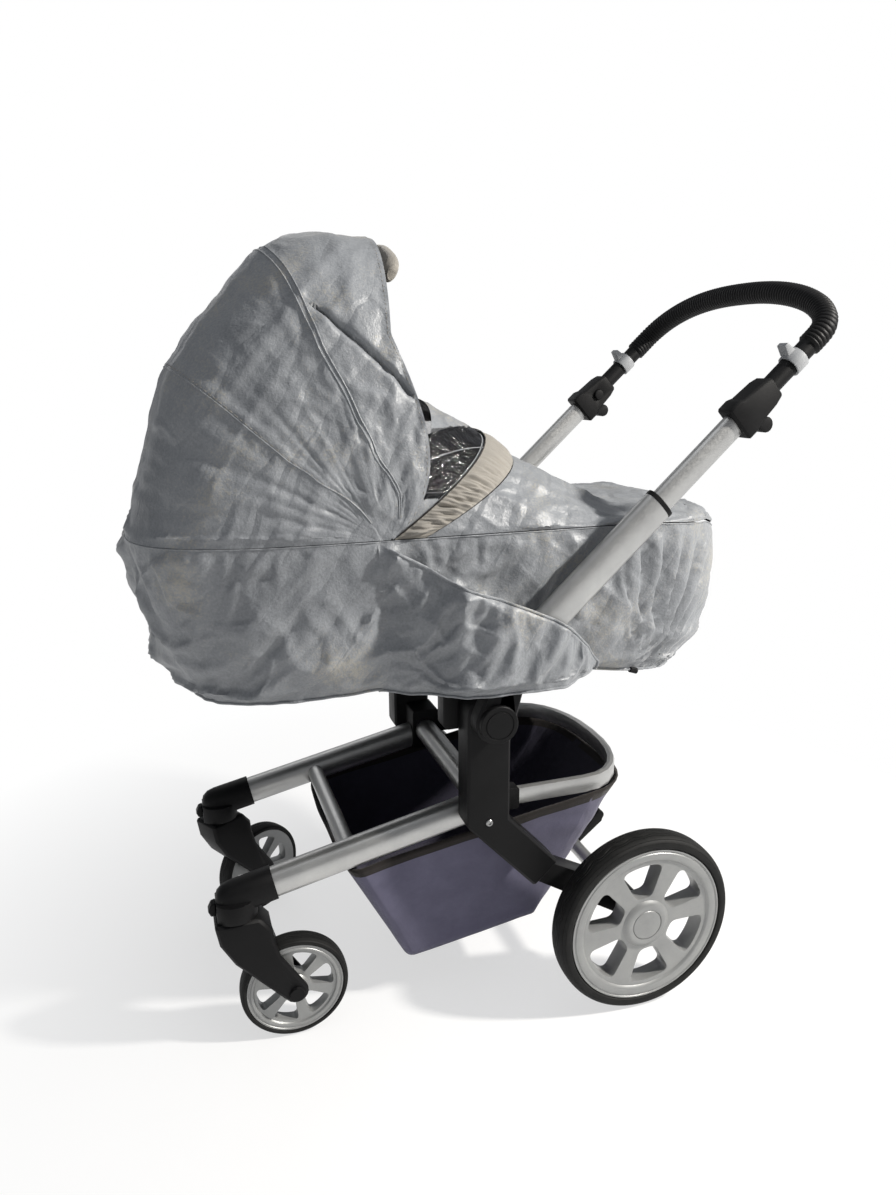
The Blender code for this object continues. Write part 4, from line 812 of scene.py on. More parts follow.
def lifted(base: Surface, u: float, v: float, height: float, inside: Vector) -> Vector:
    """Moves a place of a surface outwards.

    Args:
        base: The surface.
        u: Place along it.
        v: Place across it.
        height: Distance to move, inwards where it is less than 0.
        inside: A point inside, which tells out from in.

    Returns:
        The moved place.
    """
    step = 0.004
    place = base(u, v)
    along = base(min(u + step, 1.0), v) - base(max(u - step, 0.0), v)
    across = base(u, min(v + step, 1.0)) - base(u, max(v - step, 0.0))
    normal = along.cross(across)
    if normal.length < 1e-10:
        return place
    normal.normalize()
    if normal.dot(place - inside) < 0.0:
        normal = -normal
    return place + normal * height


def slacken(item: bpy.types.Object, pins: Callable[[Vector], float], growth: float, frames: int, proud: float, sunk: float, centre: Vector) -> None:
    """Lets thin cloth that is cut a little too large buckle between its seams.

    Args:
        item: The sheet, which has no wall yet.
        pins: Gives 1 where the cloth is sewn or held, down to 0 where it is free.
        growth: How much larger the cloth is cut than the surface it covers.
        frames: Steps of the simulation.
        proud: How far a point may stand out from where it was.
        sunk: How far it may sink in.
        centre: A point inside the cover, which tells out from in.
    """
    mesh = item.data
    before = [v.co.copy() for v in mesh.vertices]
    normals = [v.normal.copy() for v in mesh.vertices]
    group = item.vertex_groups.new(name="sewn")
    for vertex in mesh.vertices:
        held = pins(vertex.co)
        if held > 0.0:
            group.add([vertex.index], held, "REPLACE")
        soft = noise.noise(vertex.co * 34.0) * 0.0012
        vertex.co += normals[vertex.index] * (soft * (1.0 - held))
    cloth = item.modifiers.new("slack", "CLOTH")
    settings = cloth.settings
    settings.quality = 5
    settings.mass = 0.12
    settings.tension_stiffness = 18.0
    settings.compression_stiffness = 18.0
    settings.shear_stiffness = 6.0
    settings.bending_stiffness = 0.12
    settings.air_damping = 3.0
    settings.vertex_group_mass = "sewn"
    settings.pin_stiffness = 20.0
    settings.shrink_min = -growth
    settings.effector_weights.gravity = 0.25
    cloth.collision_settings.use_collision = False
    cloth.point_cache.frame_start = 1
    cloth.point_cache.frame_end = frames
    scene = bpy.context.scene
    for frame in range(1, frames + 1):
        scene.frame_set(frame)
    apply_all(item)
    scene.frame_set(1)
    for vertex, home, normal in zip(item.data.vertices, before, normals):
        out = normal if normal.dot(home - centre) > 0.0 else -normal
        move = vertex.co - home
        height = move.dot(out)
        capped = max(-sunk, min(proud, height))
        slide = move - out * height
        if slide.length > 0.006:
            slide *= 0.006 / slide.length
        vertex.co = home + slide + out * capped
    item.vertex_groups.clear()
    item.data.update()


SEAM_PIPED = ((0.0, 0.661), (0.231, 0.676), (0.304, 0.679), (0.395, 0.711), (0.432, 0.735), (0.485, 0.840), (0.5, 0.90))
NARROWING = ((0.0, 1.0), (0.33, 0.996), (0.68, 0.982), (0.90, 0.962), (1.0, 0.935))
FLAP_EDGE = (
    (-0.402, 0.7745), (-0.345, 0.744), (-0.298, 0.716), (-0.215, 0.684),
    (-0.150, 0.652), (-0.108, 0.616), (-0.072, 0.576),
)
FLAP_SWELL = ((-0.402, 0.0), (-0.345, 0.42), (-0.290, 0.92), (-0.250, 1.0), (-0.150, 1.0), (-0.108, 0.66), (-0.072, 0.20))
SEAM_FELLED = ((0.0, 0.352), (0.313, 0.360), (0.384, 0.364), (0.425, 0.385), (0.5, 0.52))


@dataclass
class RainCover:
    """Rain cover: hood, skirt, top panel, window, band, visor and the two flaps."""

    finishes: Finishes
    front_x: float = -0.7225
    foot_x: float = 0.2185
    foot_depth: float = 0.200
    foot_power: float = 2.05
    side: float = 0.2120
    waist: float = 0.7770
    hub: Point2 = (-0.400, 0.786)
    cloth: float = 0.0007
    stations: Sequence[tuple[float, Point2, float, float]] = field(default_factory=lambda: (
        (-0.400, (-0.7225, 0.7774), 3.2, 0.0),
        (-0.400, (-0.690, 0.880), 3.0, 0.0),
        (-0.400, (-0.654, 0.992), 2.8, 0.0),
        (-0.396, (-0.588, 1.084), 2.7, 0.0),
        (-0.384, (-0.510, 1.159), 2.6, 0.0),
        (-0.384, (-0.431, 1.186), 2.6, 0.024),
        (-0.384, (-0.361, 1.180), 2.6, 0.052),
    ))

    def hood_base(self, u: float, v: float) -> Vector:
        """Gives the hood's plain surface: u from the waist in front to the open edge, v from one side to the other."""
        rows = [Vector((base, top[0], top[1])) for base, top, _, _ in self.stations]
        base, top_x, top_z = spline(rows, u)
        extra = spline([Vector((power, bulge, 0.0)) for _, _, power, bulge in self.stations], u)
        power, bulge = extra.x, max(extra.y, 0.0)
        turn = math.pi * v
        c, s = math.cos(turn), max(math.sin(turn), 0.0)
        share = s ** (2.0 / power)
        y = math.copysign(abs(c) ** (2.0 / power), c) * self.side
        forward = bulge * math.sin(math.pi * min(share / 0.66, 1.0) ** 0.7)
        bottom = self.waist + 0.0012
        return world(base + (top_x - base) * share + forward, y, bottom + (top_z - bottom) * share)

    def hood_turn(self, place: Vector) -> float:
        """Returns the angle of a place about the hood's pivots, in degrees up from straight ahead."""
        return math.degrees(math.atan2(place.z - self.hub[1], self.hub[0] + REAR_AXLE_X - place.x))

    def hood_fold(self, place: Vector, u: float, v: float) -> float:
        """Returns how far the hood's cloth stands out or sinks in at a place."""
        turn = self.hood_turn(place)
        reach = math.hypot(place.x - REAR_AXLE_X - self.hub[0], place.z - self.hub[1])
        aside = abs(v - 0.5)
        seam = self.seam_u(SEAM_PIPED, aside)
        rays = noise.noise(Vector((turn * 0.105, aside * 3.0, reach * 3.2)))
        thin = noise.noise(Vector((turn * 0.27 + 9.0, aside * 4.0, reach * 6.0)))
        depth = 0.0040 * rays * smooth(reach / 0.10) + 0.0022 * thin * smooth(reach / 0.06)
        slant = Vector((place.x * 0.87 - place.z * 0.50, place.y, (place.x * 0.50 + place.z * 0.87) * 0.35))
        big = crease(slant, 0.13, Vector((1.0, 0.7, 1.0)), 3.1)
        small = crease(slant, 0.060, Vector((1.0, 0.8, 1.0)), 7.7)
        depth += 0.0030 * big + 0.0020 * small
        if u > seam:
            along = (u - seam) / max(1.0 - seam, 0.05)
            depth += 0.0018 * math.sin(along * 9.0 + 5.0 * aside + 1.5 * noise.noise(place * 7.0)) * smooth(along * 3.0)
        depth -= 0.0095 * self.pleat(u, aside)
        return depth

    def pleat(self, u: float, aside: float) -> float:
        """Returns how deep the pleat behind the hood's edge is at a place, from 0 to 1."""
        if not 0.235 < aside < 0.380:
            return 0.0
        middle = straight(((0.235, 0.685), (0.290, 0.773), (0.328, 0.859), (0.360, 0.940), (0.380, 0.985)), aside)
        width = 0.006 + 0.022 * smooth((aside - 0.24) / 0.10)
        off = (u - middle) / width
        if off > 1.0 or off < -1.6:
            return 0.0
        wall = 1.0 - off if off > 0.0 else 1.0 + off / 1.6
        return smooth(wall) * smooth((aside - 0.235) / 0.03)

    def seam_u(self, seam: Sequence[Point2], aside: float) -> float:
        """Returns where a seam lies along u, for a distance aside of the middle from 0 to 0.5."""
        return spread(seam, aside)

    def hood_surface(self, u: float, v: float) -> Vector:
        """Gives the hood's creased surface."""
        place = self.hood_base(u, v)
        hold = smooth(u / 0.05) * smooth((1.0 - u) / 0.03) * smooth(min(v, 1.0 - v) / 0.03)
        return lifted(self.hood_base, u, v, self.hood_fold(place, u, v) * hold, world(-0.42, 0.0, 0.88))

    def seam_line(self, seam: Sequence[Point2], offset: float, count: int) -> list[Vector]:
        """Lays a seam over the hood.

        Args:
            seam: Places along u for distances aside of the middle.
            offset: Shift along u.
            count: Points along the line.

        Returns:
            Points from side to side, on the creased cloth.
        """
        line = []
        for i in range(count + 1):
            v = 0.010 + 0.980 * i / count
            line.append(self.hood_surface(self.seam_u(seam, abs(v - 0.5)) + offset, v))
        return line

    def build_hood(self) -> bpy.types.Object:
        """Builds the hood with its piped and stitched seams."""
        hood = sheet("rain_hood", self.hood_surface, 120, 180)
        outward(hood)
        held = self.hood_holds(hood)
        slacken(hood, held, 0.018, 14, 0.0050, 0.0010, world(-0.42, 0.0, 0.88))
        flat, area = cut_size(hood, self.hood_surface)
        surface = BVHTree.FromPolygons([v.co.copy() for v in hood.data.vertices], [list(f.vertices) for f in hood.data.polygons])
        thicken(hood, self.cloth)
        shade(hood, 60.0)
        hood.data.materials.append(self.finishes.cover)
        parts = [hood]
        for offset in (-0.0085, 0.0085):
            parts.append(tube("piping", self.laid(self.seam_line(SEAM_PIPED, offset, 160), surface), 0.0013, 2))
        parts.append(tube("felled_seam", self.laid(self.seam_line(SEAM_FELLED, 0.0, 160), surface), 0.0011, 2))
        hem = [self.hood_surface(0.985, 0.004 + 0.992 * i / 400) for i in range(401)]
        for part in parts[1:]:
            part.data.materials.append(self.finishes.cover)
        stitches = self.stitches(self.laid(self.seam_line(SEAM_FELLED, 0.006, 400), surface), 0.0075, 0.0042, 0.0005)
        stitches.data.materials.append(self.finishes.band)
        parts.append(stitches)
        sewn = self.stitches(self.laid(hem, surface), 0.0060, 0.0038, 0.0004)
        sewn.data.materials.append(self.finishes.band)
        parts.append(sewn)
        hood = joined(parts, "rain_hood")
        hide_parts("cover_hood")
        self.bend_with_hood(hood)
        return hood

    def hood_holds(self, hood: bpy.types.Object) -> Callable[[Vector], float]:
        """Finds how firmly the hood is held at each place: along its seams and all round its edge."""
        lines = self.seam_line(SEAM_PIPED, 0.0, 120) + self.seam_line(SEAM_FELLED, 0.0, 120)
        lines += [self.hood_surface(1.0, i / 120.0) for i in range(121)]
        tree = KDTree(len(lines))
        for index, point in enumerate(lines):
            tree.insert(point, index)
        tree.balance()

        def held(place: Vector) -> float:
            """Returns 1 on a seam or edge, down to 0 beyond 9 mm from it."""
            if place.z < self.waist + 0.010:
                return 1.0
            return max(0.0, 1.0 - max(0.0, tree.find(place)[2] - 0.004) / 0.005)

        return held

    def laid(self, line: Sequence[Vector], surface: BVHTree) -> list[Vector]:
        """Lays a line onto the nearest places of a sheet."""
        return [surface.find_nearest(point)[0] for point in line]

    def stitches(self, line: Sequence[Vector], pitch: float, length: float, radius: float) -> bpy.types.Object:
        """Sews a row of stitches along a line.

        Args:
            line: The line.
            pitch: From stitch to stitch.
            length: Length of one.
            radius: Radius of the thread.

        Returns:
            All stitches as one mesh.
        """
        curve = bpy.data.curves.new("stitches", "CURVE")
        curve.dimensions = "3D"
        curve.bevel_depth = radius
        curve.bevel_resolution = 1
        curve.use_fill_caps = True
        run = 0.0
        start = None
        for before, after in zip(line, line[1:]):
            run += (after - before).length
            if start is None and run > pitch - length:
                start = after
            elif start is not None and run > pitch:
                thread = curve.splines.new("POLY")
                thread.points.add(1)
                thread.points[0].co = (*start, 1.0)
                thread.points[1].co = (*after, 1.0)
                start = None
                run = 0.0
        item = bpy.data.objects.new("stitches", curve)
        bpy.context.scene.collection.objects.link(item)
        take(item)
        bpy.ops.object.convert(target="MESH")
        threads = bpy.context.object
        outward(threads)
        return threads

    def bend_with_hood(self, item: bpy.types.Object) -> None:
        """Puts a piece's placement into its mesh, without bending it."""
        start = world(self.front_x, 0.0, 0.775)
        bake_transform(item)

    def plan(self, share: float, front: float, foot: float, side: float) -> Point2:
        """Gives the cover's outline from above at a share of its way round."""
        turn = 2.0 * math.pi * share
        c, s = math.cos(turn), math.sin(turn)
        if c >= 0.0:
            depth, power = self.foot_depth, self.foot_power
            middle = foot - depth
        else:
            depth, power = 0.32, 3.2
            middle = front + depth
        x = middle + math.copysign(abs(c) ** (2.0 / power), c) * depth
        y = math.copysign(abs(s) ** (2.0 / power), s) * side
        return x, y

    def waist_z(self, x: float) -> float:
        """Height of the waist seam."""
        return straight(((0.02, self.waist), (0.14, self.waist - 0.010), (self.foot_x, self.waist - 0.040)), x)

    def hem_z(self, x: float) -> float:
        """Height of the elasticated hem."""
        return straight(((-0.62, 0.548), (-0.40, 0.562), (-0.10, 0.560), (0.05, 0.535), (0.20, 0.500)), x)

    def outline_point(self, share: float, front: float, foot: float, side: float) -> Point2:
        """Gives the outline with its long sides filled in straight."""
        bend_front = front + 0.32
        bend_foot = foot - self.foot_depth
        straight_length = bend_foot - bend_front
        front_arc, foot_arc = 0.32 * 1.25, self.foot_depth * 1.35
        total = 2.0 * (straight_length + front_arc + foot_arc)
        place = (share % 1.0) * total
        half = total / 2.0
        mirror = 1.0
        if place > half:
            place = total - place
            mirror = -1.0
        if place < front_arc:
            turn = math.pi / 2.0 * place / front_arc
            x = bend_front - 0.32 * math.cos(turn) ** (2.0 / 3.2)
            y = side * math.sin(turn) ** (2.0 / 3.2)
        elif place < front_arc + straight_length:
            x = bend_front + place - front_arc
            y = side
        else:
            turn = math.pi / 2.0 * (place - front_arc - straight_length) / foot_arc
            c = max(math.cos(turn), 0.0)
            x = bend_foot + self.foot_depth * math.sin(turn) ** (2.0 / self.foot_power)
            y = side * c ** (2.0 / self.foot_power)
        return x, mirror * y

    def skirt_surface(self, u: float, v: float) -> Vector:
        """Gives the skirt: u round the tub, v from the waist down to the hem."""
        draw = spread(((0.0, 0.0), (0.33, 0.015), (0.68, 0.036), (0.90, 0.053), (1.0, 0.070)), v)
        pull = spread(((0.0, 0.0), (0.18, 0.0), (0.45, 0.008), (0.70, 0.026), (0.90, 0.052), (1.0, 0.066)), v)
        narrow = spread(NARROWING, v)
        x, y = self.outline_point(u, self.front_x + draw, self.foot_x - pull, self.side * narrow)
        top, hem = self.waist_z(x), self.hem_z(x)
        place = world(x, y, top + (hem - top) * v)
        out = Vector((x + 0.30, y, 0.0)).normalized()
        return place + out * self.skirt_fold(place, x, y, v)

    def skirt_fold(self, place: Vector, x: float, y: float, v: float) -> float:
        """Returns how far the skirt stands out: gathers at the foot, slanting folds at the sides, puckers at the seam."""
        foot = smooth((x + 0.05) / 0.12)
        away = math.hypot(x - 0.004, place.z - 0.510)
        fan = math.degrees(math.atan2(x - 0.004, place.z - 0.510))
        wave = abs(math.sin(fan * 0.36 + 1.1 * noise.noise(Vector((fan * 0.05, away * 4.0, 1.0)))))
        depth = 0.0130 * smooth((away - 0.010) / 0.07) * smooth((0.32 - away) / 0.12) * smooth((78.0 - abs(fan)) / 14.0)
        gather = foot * depth * (0.6 * wave - 1.3 * (1.0 - wave) ** 2 + 0.4 * noise.noise(Vector((fan * 0.16, away * 3.0, 4.0))))
        slant = place.x * 0.66 - place.z * 0.75
        across = place.x * 0.75 + place.z * 0.66
        long = noise.noise(Vector((slant * 20.0, across * 4.0, y * 3.0)))
        fine = noise.noise(Vector((slant * 48.0, across * 9.0, y * 5.0 + 3.0)))
        sides = (1.0 - 0.88 * foot) * smooth(v / 0.10) * smooth((1.0 - v) / 0.10)
        ridges = crease(place, 0.15, Vector((1.0, 1.0, 1.0)), 1.3) + 0.5 * crease(place, 0.07, Vector((1.0, 1.0, 1.0)), 5.3)
        folds = sides * (0.0120 * long + 0.0056 * fine + 0.0100 * ridges)
        pucker = 0.0030 * noise.noise(Vector((x * 70.0, y * 70.0, 0.5))) * smooth(v / 0.03) * smooth((0.22 - v) / 0.18)
        tug = 0.0040 * noise.noise(Vector((x * 60.0, y * 60.0, 2.5))) * smooth((v - 0.86) / 0.10)
        return max(folds + gather * smooth(v / 0.06) + pucker + tug, -0.0012 - 0.012 * smooth((v - 0.10) / 0.20))

    def skirt_pins(self, place: Vector) -> float:
        """Returns how firmly the skirt is held at a place: at the waist and along the hem."""
        x = place.x - REAR_AXLE_X
        top, hem = self.waist_z(x), self.hem_z(x)
        share = (top - place.z) / (top - hem)
        return 1.0 if share < 0.03 or share > 0.97 else 0.0

    def build_skirt(self) -> bpy.types.Object:
        """Builds the skirt with its waist welt and elasticated hem."""
        skirt = sheet("rain_skirt", self.skirt_surface, 480, 48)
        outward(skirt)
        slacken(skirt, self.skirt_pins, 0.016, 12, 0.006, 0.002, world(-0.25, 0.0, 0.66))
        flat, area = cut_size(skirt, self.skirt_surface)
        thicken(skirt, self.cloth)
        shade(skirt, 60.0)
        welt = [self.skirt_surface(i / 240.0, 0.004) for i in range(241)]
        hem = [self.skirt_surface(i / 400.0, 0.995) for i in range(401)]
        parts = [skirt, tube("waist_welt", welt, 0.0011, 2), tube("hem_elastic", hem, 0.0022, 2)]
        for part in parts:
            part.data.materials.append(self.finishes.cover)
        for side in (-1.0, 1.0):
            target = world(0.0, side * 0.196, 0.527)
            place = min(hem, key=lambda point: (point - target).length)
            lock = tube("cord_lock", [place, place + Vector((0.012, 0.0, -0.004))], 0.0048, 3)
            lock.data.materials.append(self.finishes.black)
            parts.append(lock)
        skirt = joined(parts, "rain_skirt")
        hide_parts("cover_skirt")
        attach(skirt, "chassis")
        return skirt

    def edge(self, low: tuple[float, Point2], v: float) -> Vector:
        """Gives a line over the slope between the hood and the top panel."""
        base_x, top = low
        turn = math.pi * v
        c, s = math.cos(turn), max(math.sin(turn), 0.0)
        share = s ** (2.0 / 2.2)
        y = math.copysign(abs(c) ** (2.0 / 2.6), c) * (self.side - 0.0014)
        return world(base_x + (top[0] - base_x) * share, y, self.waist + 0.001 + (top[1] - self.waist) * share)

    def window_base(self, u: float, v: float) -> Vector:
        """Gives the window's plain sheet: u from the band up to the hood's edge."""
        low = self.edge((-0.380, (-0.196, 0.905)), v)
        share = max(math.sin(math.pi * v), 0.0) ** 0.6
        high = world(-0.380 + 0.090 * share, low.y * (1.0 - 0.05 * share), self.waist + 0.002 + 0.178 * share)
        if share < 0.05:
            high = low + Vector((-0.001, 0.0, 0.006))
        return low.lerp(high, u)

    def is_clear(self, u: float, v: float) -> bool:
        """Tells whether a place of the window's sheet is film, not its cloth frame."""
        aside = abs(v - 0.5)
        top = straight(((0.034, 0.14), (0.119, 0.34), (0.212, 0.73), (0.263, 1.0)), aside)
        return 0.03 < u < top and aside < 0.385 + 0.10 * u

    def build_window(self) -> bpy.types.Object:
        """Builds the clear window in its cloth frame, slightly crumpled."""

        def surface(u: float, v: float) -> Vector:
            """Gives the crumpled sheet."""
            place = self.window_base(u, v)
            hold = math.sin(math.pi * u) * smooth(min(v, 1.0 - v) / 0.08)
            height = 0.0050 * noise.noise(place * 24.0) + 0.0030 * crease(place, 0.05, Vector((1.0, 1.0, 1.0)), 6.1)
            return lifted(self.window_base, u, v, height * hold, world(-0.42, 0.0, 0.78))

        film = sheet("rain_window", surface, 60, 220)
        outward(film)
        film.data.materials.append(self.finishes.film)
        film.data.materials.append(self.finishes.cover)
        uv = film.data.uv_layers.active.data
        for face in film.data.polygons:
            count = len(face.loop_indices)
            u = sum(uv[i].uv.x for i in face.loop_indices) / count
            v = sum(uv[i].uv.y for i in face.loop_indices) / count
            face.material_index = 0 if self.is_clear(u, v) else 1
        flat, area = cut_size(film, surface)
        thicken(film, 0.0004)
        shade(film, 60.0)
        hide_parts("cover_window")
        self.bend_with_hood(film)
        return film

    def band_base(self, u: float, v: float) -> Vector:
        """Gives the band's plain strip: u from its upper edge to its lower."""
        high = self.edge((-0.378, (-0.194, 0.9045)), v)
        low = self.edge((-0.334, (-0.150, 0.872)), v)
        return high.lerp(low, u)

    def band_surface(self, u: float, v: float) -> Vector:
        """Gives the gathered band, with its strongest gathers low at the sides."""
        aside = abs(v - 0.5)
        inside = math.sin(math.pi * min(max(u, 0.03), 0.97)) ** 0.5
        gather = 0.22 + 0.95 * smooth((aside - 0.24) / 0.14)
        wave = noise.noise(Vector((v * 62.0, u * 1.8, 3.0))) + 0.55 * noise.noise(Vector((v * 130.0, u * 2.5, 8.0)))
        height = 0.0062 * inside + 0.0078 * gather * wave * inside
        hold = smooth(min(v, 1.0 - v) / 0.015)
        return lifted(self.band_base, u, v, max(height, 0.0002) * hold, world(-0.30, 0.0, 0.77))

    def build_band(self) -> bpy.types.Object:
        """Builds the gathered band and the piping along its upper edge."""
        band = sheet("rain_band", self.band_surface, 20, 560)
        outward(band)
        flat, area = cut_size(band, self.band_surface)
        thicken(band, self.cloth)
        shade(band, 60.0)
        band.data.materials.append(self.finishes.band)
        line = [self.band_surface(0.0, 0.01 + 0.98 * i / 160) + Vector((-0.3, 0.0, 0.6)) * 0.002 for i in range(161)]
        piping = tube("band_piping", line, 0.0009, 2)
        piping.data.materials.append(self.finishes.tape)
        band = joined([band, piping], "rain_band")
        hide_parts("cover_band")
        self.bend_with_hood(band)
        return band

    def apron_base(self, u: float, v: float) -> Vector:
        """Gives the top panel's plain surface: u from the band to the foot."""
        stations = (
            (-0.245, -0.066, 0.830), (-0.140, 0.006, 0.7945), (-0.040, 0.070, 0.7905),
            (0.035, 0.130, 0.7890), (0.078, 0.176, 0.7780), (0.112, 0.2180, 0.7440),
        )
        turn = math.pi * v
        c, s = math.cos(turn), max(math.sin(turn), 0.0)
        share = s ** (2.0 / 2.4)
        points = [self.edge((-0.332, (-0.148, 0.8715)), v)]
        start = self.foot_x - self.foot_depth
        for base_x, top_x, top_z in stations:
            x = base_x + (top_x - base_x) * share
            reach = min(1.0, max(0.0, (x - start) / (self.foot_depth - 0.0005)))
            side = (self.side - 0.0010) * (1.0 - reach ** self.foot_power) ** (1.0 / self.foot_power)
            bow = 0.0 if top_x > 0.2 else 2.0 / 2.6
            y = math.copysign(abs(c) ** bow, c) * side
            edge = self.waist_z(x) + 0.0012
            points.append(world(x, y, edge + max(top_z - self.waist_z(top_x), 0.001) * share))
        return spline(points, u)

    def apron_surface(self, u: float, v: float) -> Vector:
        """Gives the creased top panel."""
        place = self.apron_base(u, v)
        hold = smooth(min(v, 1.0 - v) / 0.04) * smooth(u / 0.05) * smooth((1.0 - u) / 0.03)
        folds = 0.0052 * crease(place, 0.13, Vector((0.8, 1.2, 1.0)), 2.2) + 0.0028 * crease(place, 0.06, Vector((0.8, 1.1, 1.0)), 8.8)
        soft = 0.0050 * noise.noise(Vector((place.x * 7.0 + place.z * 16.0, place.y * 9.0, place.z * 9.0)))
        return lifted(self.apron_base, u, v, (folds + soft) * hold, world(-0.08, 0.0, 0.60))

    def apron_pins(self, place: Vector) -> float:
        """Returns how firmly the top panel is held at a place: all round its edge."""
        x = place.x - REAR_AXLE_X
        if place.z < self.waist_z(x) + 0.006:
            return 1.0
        for share in range(1, 60):
            if (self.edge((-0.332, (-0.148, 0.8715)), share / 60.0) - place).length < 0.014:
                return 1.0
        return 0.0

    def build_apron(self) -> bpy.types.Object:
        """Builds the top panel."""
        apron = sheet("rain_top_panel", self.apron_surface, 100, 120)
        outward(apron)
        slacken(apron, self.apron_pins, 0.022, 14, 0.008, 0.001, world(-0.08, 0.0, 0.60))
        flat, area = cut_size(apron, self.apron_surface)
        thicken(apron, self.cloth)
        shade(apron, 60.0)
        apron.data.materials.append(self.finishes.cover)
        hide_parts("cover_apron")
        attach(apron, "chassis")
        return apron

    def flap_surface(self, side: float, u: float, v: float) -> Vector:
        """Gives a flap: u from the hood end back, v from the hem up. Its front end runs into the skirt.

        Args:
            side: -1 for the left one, 1 for the right one.
            u: Place along it.
            v: Place up it.

        Returns:
            The place on its creased surface.
        """
        outside = 0.2432 + 0.028 / 2.0 + 0.0105
        x = spline([Vector((place, 0.0, 0.0)) for place, _ in FLAP_EDGE], u).x
        high = spline([Vector((height, 0.0, 0.0)) for _, height in FLAP_EDGE], u).x
        low = self.hem_z(x) - 0.001 + 0.008 * smooth((x + 0.15) / 0.08)
        z = low + (high - low) * v
        share = max(0.0, min(1.0, (self.waist_z(x) - z) / (self.waist_z(x) - self.hem_z(x))))
        inner = self.side * spread(NARROWING, share)
        fold = self.skirt_fold(world(x, side * inner, z), x, side * inner, share)
        near = spread(FLAP_SWELL, x)
        lead = smooth(u / 0.05)
        y = inner - 0.0003 + 0.0018 * lead + (outside - inner) * near + 0.002 * math.sin(math.pi * v) * near
        tuck = -0.004 * smooth((v - 0.93) / 0.07) * near
        drag = noise.noise(Vector((x * 12.0 + z * 9.0, (z - x) * 45.0, side))) * 0.0045 * near * math.sin(math.pi * v)
        held = fold if near < 0.02 else fold * (1.0 - near) + max(fold, -0.001) * near
        return world(x, side * (y + held + tuck + drag), z)

    def flap_holds(self, place: Vector) -> float:
        """Returns how firmly a flap is held at a place: all round its edge."""
        x = place.x - REAR_AXLE_X
        if x < -0.392 or x > -0.080:
            return 1.0
        return 0.9 if place.z < self.hem_z(x) + 0.010 or place.z > straight(FLAP_EDGE, x) - 0.006 else 0.0

    def build_flap(self, name: str, side: float) -> bpy.types.Object:
        """Builds the part that swells out over the handle's foot."""
        flap = sheet(f"rain_flap_{name}", lambda u, v: self.flap_surface(side, u, v), 120, 70)
        outward(flap)
        slacken(flap, self.flap_holds, 0.020, 14, 0.006, 0.003, world(-0.2, side * 0.10, 0.64))
        flat, area = cut_size(flap, lambda u, v: self.flap_surface(side, u, v))
        thicken(flap, self.cloth)
        shade(flap, 60.0)
        edge = [self.flap_surface(side, 0.04 + 0.96 * i / 110.0, 1.0) for i in range(111)]
        hem = [self.flap_surface(side, i / 110.0, 0.0) for i in range(111)]
        end = [self.flap_surface(side, 1.0, i / 20.0) for i in range(21)]
        parts = [flap, tube("flap_edge", edge, 0.0022, 2), tube("flap_hem", hem, 0.0020, 2), tube("flap_end", end, 0.0026, 2)]
        for part in parts:
            part.data.materials.append(self.finishes.cover)
        flap = joined(parts, f"rain_flap_{name}")
        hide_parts(f"cover_flap_{name}")
        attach(flap, "chassis")
        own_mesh(flap)
        return flap

    def build_visor(self) -> bpy.types.Object:
        """Builds the rolled visor at the top of the hood's edge."""

        def surface(u: float, v: float) -> Vector:
            """Gives the roll: u along it, v round it."""
            turn = math.radians(-48.0 + 96.0 * u)
            y = 0.112 * math.sin(turn) / math.sin(math.radians(48.0))
            drop = 0.030 * (1.0 - math.cos(turn)) / (1.0 - math.cos(math.radians(48.0)))
            middle = world(-0.3472, y, 1.1554 - drop)
            end = min(1.0, smooth(min(u, 1.0 - u) / 0.05) * 0.45 + 0.55)
            ring = 2.0 * math.pi * v
            wide, thin = 0.0185 * end, 0.0110 * end
            lean = Vector((0.4, 0.0, 0.9)).normalized()
            flat = Vector((0.9, 0.0, -0.4)).normalized()
            soft = 1.0 + 0.10 * noise.noise(Vector((u * 9.0, v * 2.0, 1.0)))
            return middle + lean * (wide * math.cos(ring) * soft) + flat * (thin * math.sin(ring) * soft)

        visor = sheet("rain_visor", surface, 90, 28)
        outward(visor)
        take(visor)
        bpy.ops.object.mode_set(mode="EDIT")
        bpy.ops.mesh.select_all(action="DESELECT")
        bpy.ops.mesh.select_mode(type="EDGE")
        bpy.ops.mesh.select_non_manifold()
        bpy.ops.mesh.edge_face_add()
        bpy.ops.mesh.select_mode(type="VERT")
        bpy.ops.object.mode_set(mode="OBJECT")
        shade(visor, 60.0)
        visor.data.materials.append(self.finishes.band)
        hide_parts("cover_visor")
        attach(visor, "hood_front")
        return visor

    def build(self) -> None:
        """Builds every piece of the cover."""
        for piece in (self.build_hood(), self.build_skirt(), self.build_window(), self.build_band(), self.build_apron(), self.build_visor()):
            log.info("cover: %s", piece.name)
        for name, side in SIDES:
            log.info("cover: %s", self.build_flap(name, side).name)


# ---------------------------------------------------------------- carrycot


